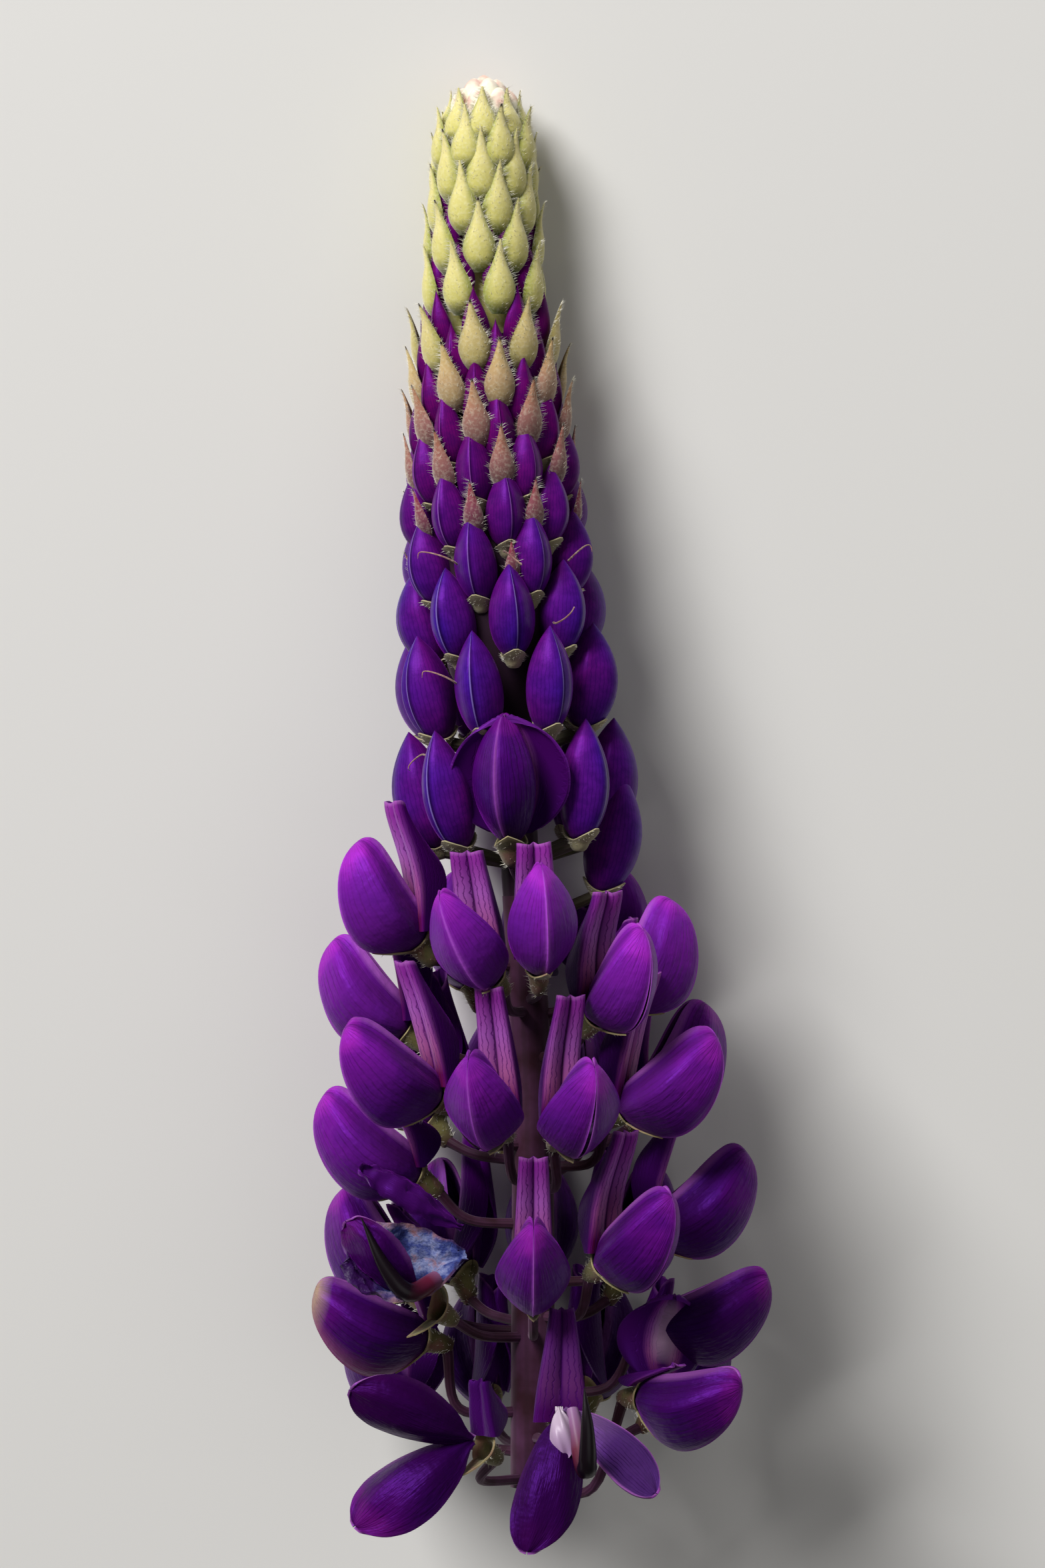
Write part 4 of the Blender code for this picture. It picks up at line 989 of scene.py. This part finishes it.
def bractBits(place, draw, age, burnt, size=1.0, wider=1.0):
    # one bract, a third of its hairs on its face and the rest in a fringe that leaves both edges
    # sideways and up; a narrow bract has fewer, by the square of its width
    rows, radius = bractForm["rows"], bractForm["hairRadius"]
    points, uv = bractPoints(bractForm["length"] * size, bractForm["width"] * wider, bractForm["bulge"] * wider,
                             draw.uniform(0.9, 1.6) * (1.0 - 0.6 * age))
    thickness = bractForm["thickness"] * (1.0 - 0.75 * uv[..., 1])
    count = int(bractForm["hairs"] * wider**2)
    flat, fringe = count // 3, count - count // 3
    bits = [shell(points, uv, thickness, "bractFelt", age=age, burnt=burnt),
            hairsOn(points, draw, flat, bractForm["flat"], radius, 0.7, upward=0.9)]
    row = np.array([draw.uniform(1.0, rows - 1.01) for _ in range(fringe)])
    low = row.astype(int)
    side = np.array([draw.choice((0, -1)) for _ in range(fringe)])
    share = (row - low)[:, None]
    root = (1 - share) * points[low, side] + share * points[np.minimum(low + 1, rows - 1), side]
    away = together(0.5, np.where(side == 0, -1.0, 1.0), 0.45)
    away = away + np.array([[draw.gauss(0, 0.2) for _ in range(3)] for _ in range(fringe)])
    lengths = np.array([draw.uniform(*bractForm["fringe"]) for _ in range(fringe)])
    return [placed(bit, place) for bit in (*bits, hairPart(root, away, lengths, radius))]


def budRadii(up, size):
    # half depth and half width of a bud: a half circle drawn in by the cube of the height
    ring = np.sqrt(np.maximum(1.0 - (2.0 * up - 1.0) ** 2, 0.0)) * (1.0 - 0.35 * up**3)
    return size[1] / 2.0 * ring, size[2] / 2.0 * ring


budHairs = {"count": 70, "lengths": (0.25, 0.6), "radius": 0.028, "lift": 0.8, "rowsFrom": 4}


def addBud(place, size, wider, youth, parting):
    # a closed bud in its small calyx; a young one is drawn out to a finer point
    plump = [size[0] * (1.08 + 0.1 * youth), size[1] * min(wider, 1.06), size[2] * wider * (1.0 + 0.12 * youth)]
    bud = podPart(plump, 30, 22, "budPetal", belly=0.3, keel=0.26 + 0.14 * youth, point=0.5 + 0.55 * youth,
                  seam=0.12 * (1.0 - 0.6 * youth), taper=3.2 - 1.2 * youth, youth=youth, parting=parting)
    budBits.append(placed(bud, place))
    addCalyx(budCalyxBits, place, budHairs, plump, size[0] * 0.13, size[0] * 0.1, radii=budRadii,
             mouth=1.2 + 0.03 * size[2], length=1.15, belly=0.3, keel=0.2, lipSpread=1.3, away=0.0, fineness=0.62,
             youth=0.7)


cadDraw = random.Random(4)  # the solids' own draw, so that each bud stays where its solid is
budBits, budCalyxBits, headBractBits = [], [], []
for whorl, (height, radius, size, wider) in enumerate(budWhorls):
    for member in range(headForm["perWhorl"]):
        azimuth = whorlAzimuth(whorl, member) + cadDraw.uniform(-2.5, 2.5)
        place = seat(height, azimuth, radius, headForm["budTilt"] + cadDraw.uniform(-2.0, 2.0))
        if (whorl, member) == (0, 0):  # the half-open flower stands here
            continue
        youth = float(np.clip((whorl - 2.0) / 4.5, 0.0, 1.0))
        addBud(place, size, wider, youth, draw.uniform(0.0, 0.02 if whorl > 1 else 0.06))
        if whorl < headForm["stalked"]:
            stalkBits.append(budStalk(height - 2.0, azimuth, 1.4, place, 0.8, 0.4))
        if whorl in oldBracts and (whorl > 4 or member % 3 == 0):
            width, age, length, down = oldBracts[whorl]
            headBractBits += bractBits(place @ moved(0.5 * size[1] + 0.05, 0.0, down - 2.0), draw,
                                       age + draw.uniform(-0.07, 0.07), float(whorl < 8 or draw.random() < 0.6),
                                       length, width)
lateBud = {"height": 70.6, "azimuth": 84.0, "radius": 9.4, "tilt": 15.0, "size": (13.4, 7.0, 6.8)}
place = seat(lateBud["height"], lateBud["azimuth"], lateBud["radius"], lateBud["tilt"])
addBud(place, lateBud["size"], 1.0, 0.0, 0.03)
stalkBits.append(budStalk(lateBud["height"] - 3.0, lateBud["azimuth"], 1.2, place, 0.7, 0.2))
for above, (height, radius, tilt, size) in enumerate(tipWhorls):
    for member in range(headForm["perWhorl"]):
        azimuth = whorlAzimuth(len(budWhorls) + above, member) + cadDraw.uniform(-2.0, 2.0)
        place = seat(height, azimuth, radius, tilt + cadDraw.uniform(-1.5, 1.5))
        headBractBits += bractBits(place, draw, max(0.0, 0.1 - 0.03 * above), float(draw.random() < 0.25), size)
        if above < 4:  # a young bud shows its dark flank beside the bract
            young = podPart((7.0 - 0.4 * above, 2.8, 4.0 - 0.2 * above), 16, 14, "budPetal", point=0.6, taper=2.6,
                            youth=1.0, parting=0.0)
            budBits.append(placed(young, place @ moved(-0.5, 0.0, 1.5)))
# the bracts of the oldest buds have dried to curled threads: height, azimuth, distance, length
threads = ((110.6, -24.0, 11.9, -5.2), (96.6, -28.0, 12.7, -4.6), (110.2, 46.0, 11.9, 3.8), (111.6, 4.0, 12.2, 2.2),
           (103.0, 30.0, 12.4, 3.0), (88.0, -50.0, 12.8, -3.6), (104.4, 110.0, 11.9, 4.2), (98.0, 190.0, 12.0, -4.4),
           (107.0, 250.0, 11.2, 3.0))
for height, azimuth, out, length in threads:
    share = np.linspace(0.0, 1.0, 16)
    bend = draw.uniform(0.0, 6.0)
    path = together(0.6 * np.sin(2.6 * share) + 0.2 * np.sin(9.0 * share + bend),
                    length * (share - 0.14 * np.sin(7.0 * share)),
                    0.9 * np.sin(4.4 * share + bend) - 0.9 * math.sin(bend))
    thread = tubePart(path, 0.11 * (1.0 - share) ** 0.7 + 0.02, 8, "bractFelt", age=0.75, burnt=0.0)
    headBractBits.append(placed(thread, seat(height, azimuth, out)))
print("buds and bracts made")

# the rings of the dome: how many buds, how far out, height and tilt
domeRings = ((1, 0.0, 164.9, 0.0), (5, 1.75, 164.4, -4.0), (7, 3.3, 163.2, -8.0))
domeBits = []
for ring, (count, out, height, tilt) in enumerate(domeRings):
    for member in range(count):
        place = seat(height, 360.0 * member / count + 20.0 * ring, out, tilt)
        domeBits.append(placed(podPart((4.5, 2.7, 3.0), 16, 12, "youngFelt", egg=0.1, point=0.15), place))


def corePart(knots, rings, surface, **marks):
    # the core of the head: a tube along the stem's line, its radius a smooth curve through the knots
    heights = np.linspace(knots[0][0], knots[-1][0], rings)
    return tubePart(stemPoints(heights), curveThrough(heights, *np.transpose(knots)), 24, surface, **marks)


stemForm = {"top": 71.0, "radii": (2.7, 2.35), "cols": 42, "ribs": 0.02, "cut": (2.4, 2.58, 2.58, 2.5)}
stemHeights = np.concatenate([[0.0, 0.05], np.linspace(0.4, stemForm["top"], 60)])
stemRadii = np.interp(stemHeights, [0.0, stemForm["top"]], stemForm["radii"])
cutHeights = [(0.0, 0.0, 0.06 * step - 0.06) for step in range(4)]
stemBits = [tubePart(stemPoints(stemHeights), stemRadii, stemForm["cols"], "stemSkin", stemForm["ribs"], greenness=0.0),
            tubePart(cutHeights, stemForm["cut"], stemForm["cols"], "cutPith")]
# the core shows only in the gaps between the buds; its darkening share paints it near black there, as painted shade
coreBits = [corePart(headForm["core"], 40, "stemSkin", greenness=0.0, deepness=0.8)]
tipCoreBits = [corePart(headForm["tipCore"], 24, "bractFelt", age=0.0, burnt=0.0)]

makePiece("stem_and_stalks", stemBits + stalkBits, ["stemSkin", "cutPith"], ["stem"])
makePiece("calyxes", calyxBits, ["calyxFelt", "silverHair"])
makePiece("buds", budBits, ["budPetal"], ["bud_head"])
makePiece("bud_calyxes", budCalyxBits, ["calyxFelt", "silverHair"])
makePiece("head_core", coreBits, ["stemSkin"])
makePiece("bracts", headBractBits + tipCoreBits, ["bractFelt", "silverHair"], ["bract_tip"])
makePiece("dome", domeBits, ["youngFelt"])
print("stem, buds, bracts and calyxes joined")


# power in watts; the floor is matt painted board, and the eye gets an even warm white
studio = {"floor": "#e2e0dc", "halfFloor": 3.0, "ambient": 0.08, "exposure": 0.0, "target": (0.0, 0.0, 0.02),
          "key": {"power": 38.0, "size": (0.8, 0.6), "at": (-0.8, 1.15, 0.95)},
          "fill": {"power": 0.9, "size": (0.7, 0.7), "at": (0.35, -0.1, 0.8)}}


def mattePaint(add):
    # one flat colour
    return {"Base Color": "floor", "Roughness": 0.8, "Specular IOR Level": 0.2}


reach = studio["halfFloor"]
floorMesh = bpy.data.meshes.new("floor")
floorMesh.from_pydata([(-reach, -reach, 0), (reach, -reach, 0), (reach, reach, 0), (-reach, reach, 0)], [],
                      [(0, 1, 2, 3)])
floorMesh.materials.append(makeMaterial(mattePaint, studio))
floor = bpy.data.objects.new("floor", floorMesh)
bpy.context.scene.collection.objects.link(floor)

for name in ("key", "fill"):  # a panel of light faces the target, with its long side level
    panel = studio[name]
    lamp = bpy.data.lights.new(name, "AREA")
    lamp.energy, lamp.shape, (lamp.size, lamp.size_y) = panel["power"], "RECTANGLE", panel["size"]
    lampObject = bpy.data.objects.new(name, lamp)
    bpy.context.scene.collection.objects.link(lampObject)
    back = np.subtract(panel["at"], studio["target"])
    lampObject.matrix_world = Matrix(facing(panel["at"], back, np.cross((0.0, 0.0, 1.0), back)).tolist())
world = bpy.data.worlds.new("studio")
world.use_nodes = True
world.node_tree.nodes["Background"].inputs["Color"].default_value = (1.0, 1.0, 1.0, 1.0)
world.node_tree.nodes["Background"].inputs["Strength"].default_value = studio["ambient"]
bpy.context.scene.world = world
bpy.context.scene.view_settings.view_transform = "Standard"
bpy.context.scene.view_settings.exposure = studio["exposure"]

# the camera looks square at the spike's side that faces up; 188 mm of its length fill the frame
view = {"away": 700.0, "centre": (-1.28, 84.3), "height": 188.16, "sensor": 36.0, "near": 0.05, "far": 20.0}
camera = bpy.data.cameras.new("camera")
camera.sensor_width = view["sensor"]
camera.lens = view["sensor"] * view["away"] / view["height"]
camera.clip_start, camera.clip_end = view["near"], view["far"]
cameraObject = bpy.data.objects.new("camera", camera)
bpy.context.scene.collection.objects.link(cameraObject)
cameraPlace = lie @ moved(view["centre"][0], -view["away"], view["centre"][1]) @ turned("x", 90.0)
cameraPlace[:3, 3] *= mm
cameraObject.matrix_world = Matrix(cameraPlace.tolist())
bpy.context.scene.camera = cameraObject
